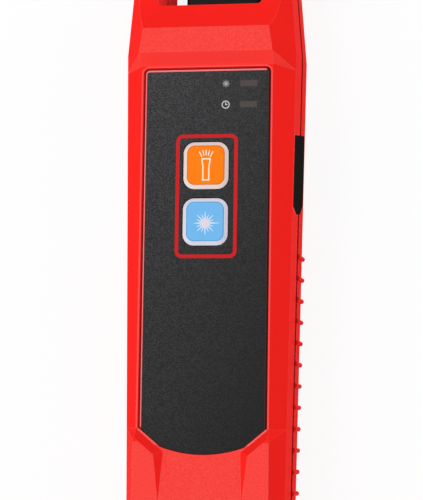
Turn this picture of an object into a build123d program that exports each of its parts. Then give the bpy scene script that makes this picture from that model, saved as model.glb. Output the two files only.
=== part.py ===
from build123d import *
import math
import os

# A hand-held visual fault locator, lying on its back.
# X runs to the right, Y runs towards the fibre port and Z runs out of the keypad face.
# All sizes are in millimetres.

# How far cutters reach past what they cut, and the gap between pieces that touch
OVER = 1.0
FIT = 0.02

# Body, seen from the front
BODY_LENGTH = 168.0
WIDEST = 40.7
END_WIDTH = 36.4
TIP_WIDTH = 36.0
WIDEST_FROM_TIP = 27.0
END_CORNER_R = 6.0
TIP_CORNER_R = 4.5
WALL = 1.8

# Heights above the rear face
SEAM_Z = 10.0
SHOULDER_Z = 18.2
RIM_Z = 23.4
HEAD_Z = 26.0
HEEL_Z = 25.2
HORN_Z = 21.0
SHOULDER_INSET = 0.36
REAR_EDGE_R = 4.0

# Open notch between the two horns
NOTCH_WIDTH = 24.4
HORN_LENGTH = 16.0
NOTCH_CORNER_R = 1.0
COVE_SLOPE = 50.0
TIP_BEVEL = 2.5

# Dark face plate and its recess
PLATE_WIDTH = 29.0
PLATE_LENGTH = 88.3
PLATE_SIDE = 82.5
PLATE_CORNER_DROP = 4.1
PLATE_FOOT_WIDTH = 19.2
PLATE_CORNER_R = 0.9
PLATE_THICKNESS = 1.0
PLATE_SINK = 0.4
PLATE_GAP = 0.2
RIM_WIDTH = 0.65
DECK_THICKNESS = 1.6
CAVITY_SHOULDER_DROP = 0.6
CAVITY_CROWN_INSET = 1.2
POCKET_INSET = 2.4
HORN_CORE_WIDTH = 2.0
HORN_CORE_WALL = 2.0

# Raised head above the plate
HEAD_GAP = 15.5
STRIP_START = 1.0
STRIP_RUN = 2.75
BAND_RUN = 5.65
HEAD_CROWN_WIDTH = 31.2
HEAD_CROWN_TAPER = 0.315
FACET_DROP = 0.7

# Raised heel below the plate
HEEL_CROWN_WIDTH = 31.4
HEEL_RISE_LENGTH = 10.8
HEEL_TROUGH_WIDTH = 18.0
HEEL_TROUGH_TAPER = 0.115
HEEL_END_RUN = 4.0

# Shadow line between the shells
SHADOW_HEIGHT = 1.4
SHADOW_DEPTH = 0.6

# Keys
KEY_WIDTH = 10.5
KEY_LENGTH = 10.85
KEY_CORNER_R = 2.6
KEY_BORDER = 0.9
KEY_BEVEL_HEIGHT = 0.9
KEY_GAP = 0.25
KEY_FLANGE = 0.7
KEY_FLANGE_HEIGHT = 0.8
KEY_TOP_OFFSET = 22.4
KEY_PITCH = 13.0
KEY_TRAVEL = 0.5
KEY_RETAINING_GAP = 0.1

# Indicators
LAMP_WIDTH = 4.0
LAMP_LENGTH = 1.5
LAMP_X = 9.7
LAMP_OFFSET = 3.4
LAMP_PITCH = 4.9
LAMP_FLANGE = 0.5
LAMP_FIT = 0.05
CHIP_HEIGHT = 1.2
CHIP_WIDTH = 3.0

# Circuit board and switches
BOARD_Z = 14.0
BOARD_THICKNESS = 1.6
BOARD_WIDTH = 28.0
BOARD_GAP = 1.0
BOARD_TAIL_WIDTH = 20.0
BOARD_TAIL_GAP = 1.8
STANDOFF_R = 2.5
STANDOFF_X = 11.3
STANDOFF_LOW_INSET = 3.5
STANDOFF_TOP_INSET = 18.5
BOARD_SCREW_R = 0.98
BOARD_SCREW_HEAD_R = 1.9
BOARD_SCREW_HEAD = 1.2
BOARD_SCREW_REACH = 3.0
SWITCH_SIZE = 6.0
SWITCH_HEIGHT = 3.1
PLUNGER_R = 1.7
PLUNGER_DEPTH = 1.2
PLUNGER_CLEARANCE = 0.1
CONTROLLER_SIZE = 7.0
CONTROLLER_X = -6.0
CONTROLLER_HEIGHT = 1.0

# Optical port, laser and torch
PORT_Z = 9.5
BLOCK_LEFT = 6.7
BLOCK_FIT = 0.9
BLOCK_FRONT_Z = 15.8
BLOCK_REAR_Z = 4.1
BLOCK_HEIGHT = 3.5
BLOCK_LIP = 1.5
BLOCK_NECK_INSET = 0.8
BLOCK_NECK_FIT = 0.05
BLOCK_CORNER_R = 1.2
PORT_R = 3.0
PORT_REACH = 8.0
PORT_BACK = 2.5
PORT_FLANGE_R = 3.9
PORT_FLANGE = 0.8
PORT_APERTURE_R = 0.9
SLEEVE_R = 1.63
SLEEVE_BORE_R = 1.26
SLEEVE_RECESS = 0.4
SLEEVE_LENGTH = 10.0
LASER_R = 4.2
LASER_LENGTH = 21.0
LASER_BORE_DEPTH = 14.0
LASER_WALL = 1.35
APERTURE_R = 1.0
LENS_THICKNESS = 2.0
DIODE_THICKNESS = 2.5
DIODE_FIT = 0.05
PIN_R = 0.23
PIN_LENGTH = 2.9
PIN_SPREAD = 1.27
PIN_COUNT = 3
SPIGOT_LENGTH = 0.8
CRADLE_THICKNESS = 1.6
CRADLE_HALF_WIDTH = 6.0
CRADLE_INSET = 3.0
CRADLE_PITCH = 11.0
TORCH_X = 7.7
TORCH_R = 3.0
TORCH_LED_R = 2.4
TORCH_FLANGE = 1.0
TORCH_LENS_THICKNESS = 0.9
FLEX_THICKNESS = 0.25
FLEX_WIDTH = 4.0
CAP_WALL = 0.9
CAP_LENGTH = 9.0
CAP_GAP = 0.2
CAP_HEADROOM = 0.3
CAP_GRIPS = 12
CAP_GRIP_R = 0.35
CAP_GRIP_MARGIN = 1.0
CAP_FIT = 0.08

# Batteries and their bay
CELL_R = 7.25
CELL_LENGTH = 49.3
CELL_NIB_R = 2.7
CELL_NIB = 1.2
CELL_GAP = 0.2
BAY_CLEARANCE = 0.2
BAY_WALL = 1.2
BAY_CORNER_R = 5.3
BAY_END_GAP = 11.7
CONTACT_THICKNESS = 0.4
CONTACT_WIDTH = 9.0
CONTACT_HEIGHT = 9.0
TAB_WIDTH = 3.0
TAB_REACH = 2.0
SPRING_HEIGHT = 2.2
SPRING_WIRE_R = 0.25
SPRING_WIRE_SIDES = 6
SPRING_TURNS = 2.5
SPRING_R = 3.4
SPRING_TAPER = 0.9
SPRING_CLEARANCE = 0.05

# Sliding battery door
DOOR_FACE = 1.9
DOOR_FLANGE = 0.95
DOOR_FLANGE_REACH = 1.0
DOOR_FIT = 0.15
DOOR_GRIPS = 6
DOOR_GRIP_PITCH = 1.8
DOOR_GRIP_R = 0.45
DOOR_GRIP_WIDTH = 16.0
DOOR_GRIP_INSET = 8.0

# Fasteners
SCREW_X = 13.4
SCREW_TIP_OFFSET = 24.0
SCREW_BAY_GAP = 2.0
BOSS_R = 3.0
REAR_BOSS_R = 3.6
SCREW_R = 1.22
SCREW_HOLE_R = 1.45
SCREW_HEAD_R = 2.5
SCREW_HEAD = 1.8
SCREW_SEAT_Z = 4.0
SCREW_REACH = 5.0
INSERT_R = 1.75
INSERT_LENGTH = 5.0
DRIVE_R = 1.1
DRIVE_DEPTH = 1.0
COUNTERBORE_FIT = 0.2
PILOT_R = 1.3
PILOT_DEPTH = 7.0

# Snap hooks at the heel
HOOK_X = 7.0
HOOK_WIDTH = 4.0
HOOK_THICKNESS = 1.2
HOOK_DEPTH = 3.0
HOOK_NOSE = 0.5
HOOK_NOSE_HEIGHT = 1.0
HOOK_ROOT_GAP = 2.0
HOOK_FIT = 0.15

# Seal, grip pads and grip ribs
SEAL_WIDTH = 0.7
SEAL_MARGIN = 0.25
SEAL_HEIGHT = 0.9
SEAL_FIT = 0.04
PAD_LENGTH = 18.5
PAD_TAPER_LENGTH = 2.0
PAD_TIP_WIDTH = 4.6
PAD_WIDTH = 13.0
PAD_Z = 10.9
PAD_DEPTH = 0.7
PAD_LEAST_DEPTH = 0.4
PAD_LEAN = 0.125
PAD_TOP_OFFSET = 13.9
PAD_FIT = 0.05
RIB_PITCH = 5.0
RIB_R = 0.55
RIB_LOW_Z = 2.4
RIB_TOP_OFFSET = 42.2
RIB_END_GAP = 13.0

# Stations along Y, worked out from the sizes above
TIP_Y = BODY_LENGTH / 2
END_Y = -BODY_LENGTH / 2
WIDEST_Y = TIP_Y - WIDEST_FROM_TIP
FLOOR_Y = TIP_Y - HORN_LENGTH
PLATE_TOP_Y = FLOOR_Y - HEAD_GAP
PLATE_SIDE_Y = PLATE_TOP_Y - PLATE_SIDE
PLATE_FOOT_Y = PLATE_SIDE_Y - PLATE_CORNER_DROP
PLATE_END_Y = PLATE_TOP_Y - PLATE_LENGTH
STRIP_LOW_Y = PLATE_TOP_Y + STRIP_START
BAND_LOW_Y = STRIP_LOW_Y + STRIP_RUN
BAND_TOP_Y = BAND_LOW_Y + BAND_RUN
RIM_X = PLATE_WIDTH / 2 + PLATE_GAP + RIM_WIDTH
TORCH_KEY_Y = PLATE_TOP_Y - KEY_TOP_OFFSET
LASER_KEY_Y = TORCH_KEY_Y - KEY_PITCH
LASER_LAMP_Y = PLATE_TOP_Y - LAMP_OFFSET
TIMER_LAMP_Y = LASER_LAMP_Y - LAMP_PITCH
RIB_TOP_Y = PLATE_TOP_Y - RIB_TOP_OFFSET
RIB_COUNT = 1 + int((RIB_TOP_Y - END_Y - RIB_END_GAP) / RIB_PITCH)

# Levels along Z, worked out from the sizes above
RECESS_Z = RIM_Z - PLATE_SINK - PLATE_THICKNESS
PLATE_Z = RIM_Z - PLATE_SINK
DECK_Z = RECESS_Z - DECK_THICKNESS
BOARD_FACE_Z = BOARD_Z + BOARD_THICKNESS
KEY_FLANGE_Z = DECK_Z - KEY_RETAINING_GAP
KEY_FOOT_Z = KEY_FLANGE_Z - KEY_FLANGE_HEIGHT
SWITCH_TOP_Z = BOARD_FACE_Z + SWITCH_HEIGHT
PLUNGER_TOP_Z = KEY_FOOT_Z - FIT
DOOR_THICKNESS = DOOR_FACE + DOOR_FLANGE + DOOR_FIT
CELL_Z = DOOR_THICKNESS + BAY_CLEARANCE + CELL_R
CELL_X = CELL_R + CELL_GAP / 2
BAY_X = 2 * CELL_R + CELL_GAP / 2 + BAY_CLEARANCE
BAY_TOP_Z = CELL_Z + CELL_R + BAY_CLEARANCE
BAY_LOW_Y = END_Y + BAY_END_GAP
BAY_LENGTH = CELL_LENGTH + CELL_NIB + 2 * CONTACT_THICKNESS + SPRING_HEIGHT
BAY_TOP_Y = BAY_LOW_Y + BAY_LENGTH
DOOR_TOP_Y = BAY_TOP_Y + BAY_WALL
SCREW_TOP_Y = TIP_Y - SCREW_TIP_OFFSET
SCREW_LOW_Y = BAY_TOP_Y + BAY_WALL + SCREW_BAY_GAP + REAR_BOSS_R
BOARD_TOP_Y = SCREW_TOP_Y - BOSS_R - BOARD_GAP
BOARD_LOW_Y = SCREW_LOW_Y + BOSS_R + BOARD_GAP
BOARD_TAIL_Y = BAY_TOP_Y + BOARD_TAIL_GAP
STANDOFF_LOW_Y = BOARD_LOW_Y + STANDOFF_LOW_INSET
STANDOFF_TOP_Y = BOARD_TOP_Y - STANDOFF_TOP_INSET
BLOCK_RIGHT = NOTCH_WIDTH / 2 - BLOCK_FIT
BLOCK_TOP_Y = FLOOR_Y + BLOCK_HEIGHT
NOSE_INNER_Y = FLOOR_Y - WALL - BLOCK_LIP
PORT_TOP_Y = BLOCK_TOP_Y + PORT_REACH
PORT_LOW_Y = FLOOR_Y - PORT_BACK


def block(x0, x1, y0, y1, z0, z1):
    """Straight block between two opposite corners."""
    centre = Pos((x0 + x1) / 2, (y0 + y1) / 2, (z0 + z1) / 2)
    return centre * Box(x1 - x0, y1 - y0, z1 - z0)


def rod_y(x, z, radius, y0, y1):
    """Round bar along Y."""
    bar = Cylinder(radius, y1 - y0, align=(Align.CENTER, Align.CENTER, Align.MIN))
    return Pos(x, y0, z) * Rot(-90, 0, 0) * bar


def rod_z(x, y, radius, z0, z1):
    """Round bar along Z."""
    bar = Cylinder(radius, z1 - z0, align=(Align.CENTER, Align.CENTER, Align.MIN))
    return Pos(x, y, z0) * bar


def slab(outline, z0, z1):
    """Upright prism over a flat outline, from one height to another."""
    return extrude(Pos(0, 0, z0) * outline, z1 - z0)


def both_sides(solid):
    """A piece and its mirror image across the middle of the body."""
    return solid + mirror(solid, Plane.YZ)


def seam_x(y):
    """Half the body's width at the seam, at a station along Y."""
    if y >= WIDEST_Y:
        share = (y - WIDEST_Y) / (TIP_Y - WIDEST_Y)
        return (WIDEST + (TIP_WIDTH - WIDEST) * share) / 2
    share = (WIDEST_Y - y) / (WIDEST_Y - END_Y)
    return (WIDEST + (END_WIDTH - WIDEST) * share) / 2


def shoulder_x(y):
    """Half the body's width where the side turns in towards the face."""
    return seam_x(y) - SHOULDER_INSET


def head_crown_x(y):
    """Half the width of the raised head's flat top."""
    return (HEAD_CROWN_WIDTH - HEAD_CROWN_TAPER * max(y - BAND_LOW_Y, 0)) / 2


def cross_section(y, seam, shoulder, crown, shoulder_z, crown_z):
    """Faceted section across the body: straight sides, sloping shoulders, flat crown."""
    right = [(seam, SEAM_Z), (shoulder, shoulder_z), (crown, crown_z)]
    left = [(-x, z) for x, z in reversed(right)]
    corners = [Vector(x, y, z) for x, z in right + left]
    return Face(Wire.make_polygon(corners))


def plan_outline(inset=0.0):
    """Outline of the body seen from the front, without the notch."""
    right = [
        (END_WIDTH / 2 - inset, END_Y + inset),
        (WIDEST / 2 - inset, WIDEST_Y),
        (TIP_WIDTH / 2 - inset, TIP_Y - inset),
    ]
    left = [(-x, y) for x, y in reversed(right)]
    outline = make_face(Polyline(*right, *left, close=True))
    corners = outline.vertices()
    end_corners = corners.filter_by(lambda v: v.Y < END_Y + 2 * WALL)
    outline = fillet(end_corners, END_CORNER_R - inset)
    tip_corners = outline.vertices().filter_by(
        lambda v: v.Y > TIP_Y - 2 * WALL and abs(v.X) > NOTCH_WIDTH / 2
    )
    return fillet(tip_corners, TIP_CORNER_R - inset)


def notch_cutter():
    """Opening between the horns, right through the body."""
    opening = RectangleRounded(NOTCH_WIDTH, 2 * HORN_LENGTH, NOTCH_CORNER_R)
    return slab(Pos(0, TIP_Y, 0) * opening, -OVER, HEAD_Z + OVER)


def plane_through(a, b, c, outwards):
    """Plane through three points, facing a given way."""
    normal = (Vector(*b) - Vector(*a)).cross(Vector(*c) - Vector(*a)).normalized()
    if normal.dot(Vector(*outwards)) < 0:
        normal = -normal
    return Plane(origin=a, z_dir=normal)


def trim(solid, plane):
    """What is left of a solid behind a plane."""
    return split(solid, bisect_by=plane, keep=Keep.BOTTOM)


def valley_form():
    """Lower level of the front, on which the face plate lies."""
    stations = [END_Y, BAND_LOW_Y]
    sections = [
        cross_section(y, seam_x(y), shoulder_x(y), RIM_X, SHOULDER_Z, RIM_Z) for y in stations
    ]
    return loft(sections, ruled=True)


def head_form():
    """Raised head, with the sloping strip and corner facets above the plate."""
    stations = [STRIP_LOW_Y - STRIP_RUN, WIDEST_Y, TIP_Y]
    sections = [
        cross_section(y, seam_x(y), shoulder_x(y), head_crown_x(y), SHOULDER_Z, HEAD_Z)
        for y in stations
    ]
    form = loft(sections, ruled=True)
    crown_x = head_crown_x(BAND_LOW_Y)
    shoulder_y = STRIP_LOW_Y - FACET_DROP
    strip = plane_through(
        (0, BAND_LOW_Y, HEAD_Z), (1, BAND_LOW_Y, HEAD_Z), (0, STRIP_LOW_Y, RIM_Z), (0, -1, 1)
    )
    form = trim(form, strip)
    for side in (1, -1):
        facet = plane_through(
            (side * crown_x, BAND_LOW_Y, HEAD_Z),
            (side * RIM_X, STRIP_LOW_Y, RIM_Z),
            (side * shoulder_x(shoulder_y), shoulder_y, SHOULDER_Z),
            (side, -1, 1),
        )
        form = trim(form, facet)
    return form - cove_cutter()


def cove_cutter():
    """Hollow curve from the head's flat band down to the fronts of the horns."""
    slope = math.radians(COVE_SLOPE)
    radius = (HEAD_Z - HORN_Z) / (1 - math.cos(slope))
    end_y = BAND_TOP_Y + radius * math.sin(slope)
    middle = (end_y - radius * math.sin(slope / 2), HORN_Z + radius * (1 - math.cos(slope / 2)))
    start = (BAND_TOP_Y, HEAD_Z)
    finish = (end_y, HORN_Z)
    beyond = TIP_Y + OVER
    above = HEAD_Z + OVER
    edges = [
        ThreePointArc(start, middle, finish),
        Polyline(finish, (beyond, HORN_Z), (beyond, above), (start[0], above), start),
    ]
    return extrude(Plane.YZ * make_face(edges), WIDEST / 2 + OVER, both=True)


def heel_form():
    """Raised heel below the plate, with corner facets beside the plate's cut corners."""
    heel_x = HEEL_CROWN_WIDTH / 2
    stations = [PLATE_SIDE_Y + HEEL_END_RUN, END_Y]
    sections = [
        cross_section(y, seam_x(y), shoulder_x(y), heel_x, SHOULDER_Z, HEEL_Z) for y in stations
    ]
    form = loft(sections, ruled=True)
    rise = HEEL_Z - RIM_Z
    start_y = PLATE_SIDE_Y - PLATE_GAP
    for side in (1, -1):
        facet = plane_through(
            (side * heel_x, start_y - math.sqrt(2) * rise, HEEL_Z),
            (side * RIM_X, start_y, RIM_Z),
            (side * shoulder_x(start_y), start_y + PLATE_GAP, SHOULDER_Z),
            (side, 1, 1),
        )
        form = trim(form, facet)
    return form - trough_cutter()


def trough_outline(spread):
    """Outline of the hollow between the heel's raised sides, grown by a spread."""
    rim = PLATE_GAP + RIM_WIDTH / 2
    foot_x = HEEL_TROUGH_WIDTH / 2
    slope = math.atan2(PLATE_CORNER_DROP, (PLATE_WIDTH - PLATE_FOOT_WIDTH) / 2)
    grown = rim + spread
    rise = grown / math.cos(slope)
    corner_x = PLATE_WIDTH / 2
    side_y = PLATE_SIDE_Y - rise
    wide_x = WIDEST
    side_x = foot_x + spread * math.sqrt(1 + HEEL_TROUGH_TAPER**2)
    wide_y = side_y + (wide_x - corner_x) * math.tan(slope)
    drop = math.tan(slope)
    meet_y = side_y - (corner_x - side_x) * drop
    low_y = PLATE_END_Y - PLATE_GAP - HEEL_RISE_LENGTH - OVER
    low_x = side_x - HEEL_TROUGH_TAPER * (meet_y - low_y)
    right = [(wide_x, wide_y), (side_x, meet_y), (low_x, low_y)]
    left = [(-x, y) for x, y in reversed(right)]
    return [Vector(x, y, 0) for x, y in right + left]


def trough_cutter():
    """Hollow that follows the plate's cut corners and ramps up to the heel."""
    height = HEEL_Z - RIM_Z + OVER
    low = Face(Wire.make_polygon(trough_outline(0)))
    high = Face(Wire.make_polygon(trough_outline(height)))
    hollow = loft([Pos(0, 0, RIM_Z) * low, Pos(0, 0, RIM_Z + height) * high], ruled=True)
    start_y = PLATE_END_Y - PLATE_GAP
    ramp = plane_through(
        (0, start_y, RIM_Z), (1, start_y, RIM_Z), (0, start_y - HEEL_RISE_LENGTH, HEEL_Z), (0, -1, -1)
    )
    return trim(hollow, ramp)


def front_form():
    """Outer form of the front shell, solid, with its notch and bevelled ends."""
    form = valley_form() + head_form() + heel_form()
    form = form & slab(plan_outline(), SEAM_Z, HEAD_Z + OVER)
    heel_end = plane_through(
        (0, END_Y, SHOULDER_Z), (1, END_Y, SHOULDER_Z), (0, END_Y + HEEL_END_RUN, HEEL_Z), (0, -1, 1)
    )
    tip_end = plane_through(
        (0, TIP_Y, HORN_Z - TIP_BEVEL), (1, TIP_Y, HORN_Z - TIP_BEVEL),
        (0, TIP_Y - TIP_BEVEL, HORN_Z), (0, 1, 1)
    )
    return trim(trim(form, heel_end), tip_end) - notch_cutter()


def rear_form():
    """Outer form of the rear shell, solid, with a rounded rear edge."""
    form = slab(plan_outline(), 0, SEAM_Z)
    rear_edges = form.faces().sort_by(Axis.Z)[0].edges()
    return fillet(rear_edges, REAR_EDGE_R) - notch_cutter()


def plate_outline(grow=0.0):
    """Outline of the face plate: cut lower corners and a curved foot."""
    side_x = PLATE_WIDTH / 2
    foot_x = PLATE_FOOT_WIDTH / 2
    edges = [
        Polyline(
            (foot_x, PLATE_FOOT_Y), (side_x, PLATE_SIDE_Y), (side_x, PLATE_TOP_Y),
            (-side_x, PLATE_TOP_Y), (-side_x, PLATE_SIDE_Y), (-foot_x, PLATE_FOOT_Y)
        ),
        ThreePointArc((-foot_x, PLATE_FOOT_Y), (0, PLATE_END_Y), (foot_x, PLATE_FOOT_Y)),
    ]
    outline = make_face(edges)
    top_corners = outline.vertices().filter_by(lambda v: v.Y > PLATE_SIDE_Y + FIT)
    outline = fillet(top_corners, PLATE_CORNER_R)
    if grow:
        outline = offset(outline, grow, kind=Kind.INTERSECTION)
    return outline


def key_outline(y, grow=0.0):
    """Rounded outline of a key, grown or shrunk."""
    width = KEY_WIDTH + 2 * grow
    length = KEY_LENGTH + 2 * grow
    return Pos(0, y, 0) * RectangleRounded(width, length, KEY_CORNER_R + grow)


def lamp_outline(y, grow=0.0):
    """Outline of an indicator window."""
    return Pos(LAMP_X, y, 0) * Rectangle(LAMP_WIDTH + 2 * grow, LAMP_LENGTH + 2 * grow)


def face_openings(key_gap, lamp_gap, z0, z1):
    """Openings for the keys and the indicators, through the deck or the plate."""
    keys = slab(key_outline(TORCH_KEY_Y, key_gap), z0, z1)
    keys += slab(key_outline(LASER_KEY_Y, key_gap), z0, z1)
    lamps = slab(lamp_outline(LASER_LAMP_Y, lamp_gap), z0, z1)
    lamps += slab(lamp_outline(TIMER_LAMP_Y, lamp_gap), z0, z1)
    return keys + lamps


def screw_places():
    """Places of the four shell screws."""
    return [(x, y) for y in (SCREW_TOP_Y, SCREW_LOW_Y) for x in (-SCREW_X, SCREW_X)]


def standoff_places():
    """Places of the four circuit board screws."""
    return [(x, y) for y in (STANDOFF_TOP_Y, STANDOFF_LOW_Y) for x in (-STANDOFF_X, STANDOFF_X)]


def nose_section(inset, y0, y1):
    """Block with the nose block's outline, set in by an amount."""
    return block(
        -BLOCK_LEFT + inset, BLOCK_RIGHT - inset, y0, y1, BLOCK_REAR_Z + inset, BLOCK_FRONT_Z - inset
    )


def nose_opening():
    """Opening in the wall at the notch floor, for the nose block's neck."""
    return nose_section(BLOCK_NECK_INSET - BLOCK_NECK_FIT, FLOOR_Y - WALL - OVER, FLOOR_Y + OVER)


def pad_prism(side, grow=0.0):
    """Prism of a side grip pad: a flat top end, a tapered lower end, both leaning."""
    top_y = PLATE_TOP_Y - PAD_TOP_OFFSET + grow
    low_y = PLATE_TOP_Y - PAD_TOP_OFFSET - PAD_LENGTH - grow
    taper_y = low_y + PAD_TAPER_LENGTH
    half = PAD_WIDTH / 2 + grow
    tip = PAD_TIP_WIDTH / 2 + grow
    corners = [
        (top_y, PAD_Z - half), (top_y, PAD_Z + half), (taper_y, PAD_Z + half),
        (low_y, PAD_Z + tip), (low_y, PAD_Z - tip), (taper_y, PAD_Z - half)
    ]
    high_x = seam_x(PLATE_TOP_Y - PAD_TOP_OFFSET) - PAD_DEPTH
    low_x = seam_x(PLATE_TOP_Y - PAD_TOP_OFFSET - PAD_LENGTH) - PAD_LEAST_DEPTH
    inner_x = min(high_x, low_x) - grow
    leaning = [Vector(inner_x, y + PAD_LEAN * (PAD_Z - z), z) for y, z in corners]
    outline = Face(Wire.make_polygon(leaning))
    prism = extrude(outline, WIDEST, dir=(1, 0, 0))
    return prism if side > 0 else mirror(prism, Plane.YZ)


def pad_pockets():
    """Room for both grip pads in the sides of the shells."""
    return pad_prism(1, PAD_FIT) + pad_prism(-1, PAD_FIT)


def horn_cores():
    """Hollow core in each horn, open at the seam."""
    inner_x = NOTCH_WIDTH / 2 + HORN_CORE_WALL
    core = block(
        inner_x, inner_x + HORN_CORE_WIDTH, FLOOR_Y, TIP_Y - TIP_CORNER_R,
        SEAM_Z / 2, (SEAM_Z + HORN_Z) / 2
    )
    return both_sides(core)


def front_cavity():
    """Hollow of the front shell, with pockets under the raised head and heel."""
    stations = [END_Y + WALL, WIDEST_Y, FLOOR_Y - WALL]
    shoulder_z = SHOULDER_Z - CAVITY_SHOULDER_DROP
    crown_x = RIM_X - CAVITY_CROWN_INSET
    sections = [
        cross_section(y, seam_x(y) - WALL, shoulder_x(y) - WALL, crown_x, shoulder_z, DECK_Z)
        for y in stations
    ]
    hollow = loft(sections, ruled=True)
    head_x = HEAD_CROWN_WIDTH / 2 - POCKET_INSET
    hollow += block(
        -head_x, head_x, BAND_LOW_Y, BAND_TOP_Y - WALL / 2, DECK_Z - OVER, HEAD_Z - WALL
    )
    heel_x = HEEL_CROWN_WIDTH / 2 - POCKET_INSET
    heel_top_y = PLATE_END_Y - HEEL_RISE_LENGTH
    hollow += block(
        -heel_x, heel_x, END_Y + HEEL_END_RUN + WALL, heel_top_y, DECK_Z - OVER, HEEL_Z - WALL
    )
    return hollow


def shadow_rebate():
    """Narrow rebate round the front shell, seen as a dark line beside the seam."""
    outer = slab(plan_outline(-OVER), SEAM_Z - OVER, SEAM_Z + SHADOW_HEIGHT)
    core = slab(plan_outline(SHADOW_DEPTH), SEAM_Z - 2 * OVER, SEAM_Z + SHADOW_HEIGHT + OVER)
    return outer - core - notch_keeper()


def notch_keeper():
    """Space round the notch, in which the shells keep their full walls."""
    reach = NOTCH_WIDTH / 2 + WALL
    low_z = SEAM_Z - 2 * OVER
    top_z = SEAM_Z + SHADOW_HEIGHT + OVER
    return block(-reach, reach, FLOOR_Y - WALL, TIP_Y + 2 * OVER, low_z, top_z)


def snap_hooks():
    """Two hooks that hold the front shell's heel in the rear shell."""
    wall_y = END_Y + WALL
    hook_top_z = SHOULDER_Z - HOOK_ROOT_GAP
    hooks = []
    for x in (-HOOK_X, HOOK_X):
        x0 = x - HOOK_WIDTH / 2
        x1 = x + HOOK_WIDTH / 2
        low_z = SEAM_Z - HOOK_DEPTH
        nose_z = low_z + HOOK_NOSE_HEIGHT
        hook = block(x0, x1, wall_y - FIT, wall_y + HOOK_THICKNESS, SEAM_Z + FIT, hook_top_z)
        hook += block(x0, x1, wall_y + HOOK_FIT, wall_y + HOOK_THICKNESS, low_z, SEAM_Z + OVER)
        hook += block(x0, x1, wall_y - HOOK_NOSE, wall_y + HOOK_THICKNESS, low_z, nose_z)
        hooks.append(hook)
    return hooks[0] + hooks[1]


def hook_pockets():
    """Pockets in the rear shell's end wall for the noses of the hooks."""
    wall_y = END_Y + WALL
    half = HOOK_WIDTH / 2 + HOOK_FIT
    low_z = SEAM_Z - HOOK_DEPTH - HOOK_FIT
    pocket = block(
        HOOK_X - half, HOOK_X + half, wall_y - HOOK_NOSE - HOOK_FIT, wall_y + OVER,
        low_z, low_z + HOOK_NOSE_HEIGHT + 2 * HOOK_FIT
    )
    return both_sides(pocket)


def make_front_shell():
    """Front shell: faceted housing with the plate's recess, openings, bosses and standoffs."""
    shell = front_form() - front_cavity()
    for x, y in screw_places():
        shell += rod_z(x, y, BOSS_R, SEAM_Z, DECK_Z + OVER)
    for x, y in standoff_places():
        shell += rod_z(x, y, STANDOFF_R, BOARD_FACE_Z, DECK_Z + OVER)
    for x, y in screw_places():
        shell -= rod_z(x, y, INSERT_R + FIT, SEAM_Z - OVER, SEAM_Z + INSERT_LENGTH + FIT)
        shell -= rod_z(x, y, PILOT_R, SEAM_Z - OVER, SEAM_Z + PILOT_DEPTH)
    for x, y in standoff_places():
        shell -= rod_z(x, y, BOARD_SCREW_R + FIT, BOARD_Z, BOARD_FACE_Z + BOARD_SCREW_REACH + FIT)
    shell -= slab(plate_outline(PLATE_GAP), RECESS_Z, HEAD_Z + OVER)
    shell -= face_openings(KEY_GAP, LAMP_FIT, DECK_Z - OVER, RIM_Z + OVER)
    shell -= shadow_rebate()
    shell -= nose_opening()
    shell -= pad_pockets()
    shell -= horn_cores()
    return shell + snap_hooks()


def bay_block(grow):
    """Battery bay, rounded along its top corners, grown by its wall or not at all."""
    half = BAY_X + grow
    top_z = BAY_TOP_Z + grow
    bay = block(-half, half, BAY_LOW_Y - grow, BAY_TOP_Y + grow, DOOR_FACE, top_z)
    top_edges = bay.edges().filter_by(Axis.Y).sort_by(Axis.Z)[-2:]
    return fillet(top_edges, BAY_CORNER_R + grow)


def rear_cavity():
    """Hollow of the rear shell, above the battery bay and below it."""
    low_y = BAY_TOP_Y + BAY_WALL
    top_y = FLOOR_Y - WALL
    right = [
        (seam_x(low_y) - WALL, low_y), (WIDEST / 2 - WALL, WIDEST_Y), (seam_x(top_y) - WALL, top_y)
    ]
    left = [(-x, y) for x, y in reversed(right)]
    outline = make_face(Polyline(*right, *left, close=True))
    upper = slab(outline, WALL, SEAM_Z + OVER)
    lower_edges = upper.edges().filter_by(lambda e: e.center().Z < WALL + FIT)
    upper = fillet(lower_edges, REAR_EDGE_R - WALL)
    half = END_WIDTH / 2 - WALL - END_CORNER_R / 2
    floor_z = DOOR_THICKNESS + DOOR_FIT + BAY_WALL
    lower = block(-half, half, END_Y + WALL, BAY_LOW_Y - BAY_WALL, floor_z, SEAM_Z + OVER)
    return upper + lower


def door_profile(gap):
    """Battery door with its side flanges, or with gap 0 the slot it slides in."""
    flange_x = BAY_X + DOOR_FLANGE_REACH - gap
    low_y = END_Y - OVER
    top_y = DOOR_TOP_Y - gap
    face_top = DOOR_FACE + gap
    flange_top = DOOR_THICKNESS + DOOR_FIT - gap
    face = block(-BAY_X + gap, BAY_X - gap, low_y, top_y, -OVER, face_top)
    return face + block(-flange_x, flange_x, low_y, top_y, face_top, flange_top)


def grip_ribs():
    """Half-round upright ribs along both sides of the rear shell."""
    ribs = []
    for i in range(RIB_COUNT):
        y = RIB_TOP_Y - i * RIB_PITCH
        for side in (1, -1):
            ribs.append(rod_z(side * seam_x(y), y, RIB_R, RIB_LOW_Z, SEAM_Z))
    return ribs


def seal_outline(grow):
    """Outline of the hollow at the seam, grown outwards into the wall."""
    inset = WALL - grow
    top_y = FLOOR_Y - inset
    right = [
        (END_WIDTH / 2 - inset, END_Y + inset), (WIDEST / 2 - inset, WIDEST_Y),
        (seam_x(top_y) - inset, top_y)
    ]
    left = [(-x, y) for x, y in reversed(right)]
    outline = make_face(Polyline(*right, *left, close=True))
    corners = outline.vertices().filter_by(lambda v: v.Y < END_Y + 2 * WALL)
    return fillet(corners, END_CORNER_R - inset)


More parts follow.
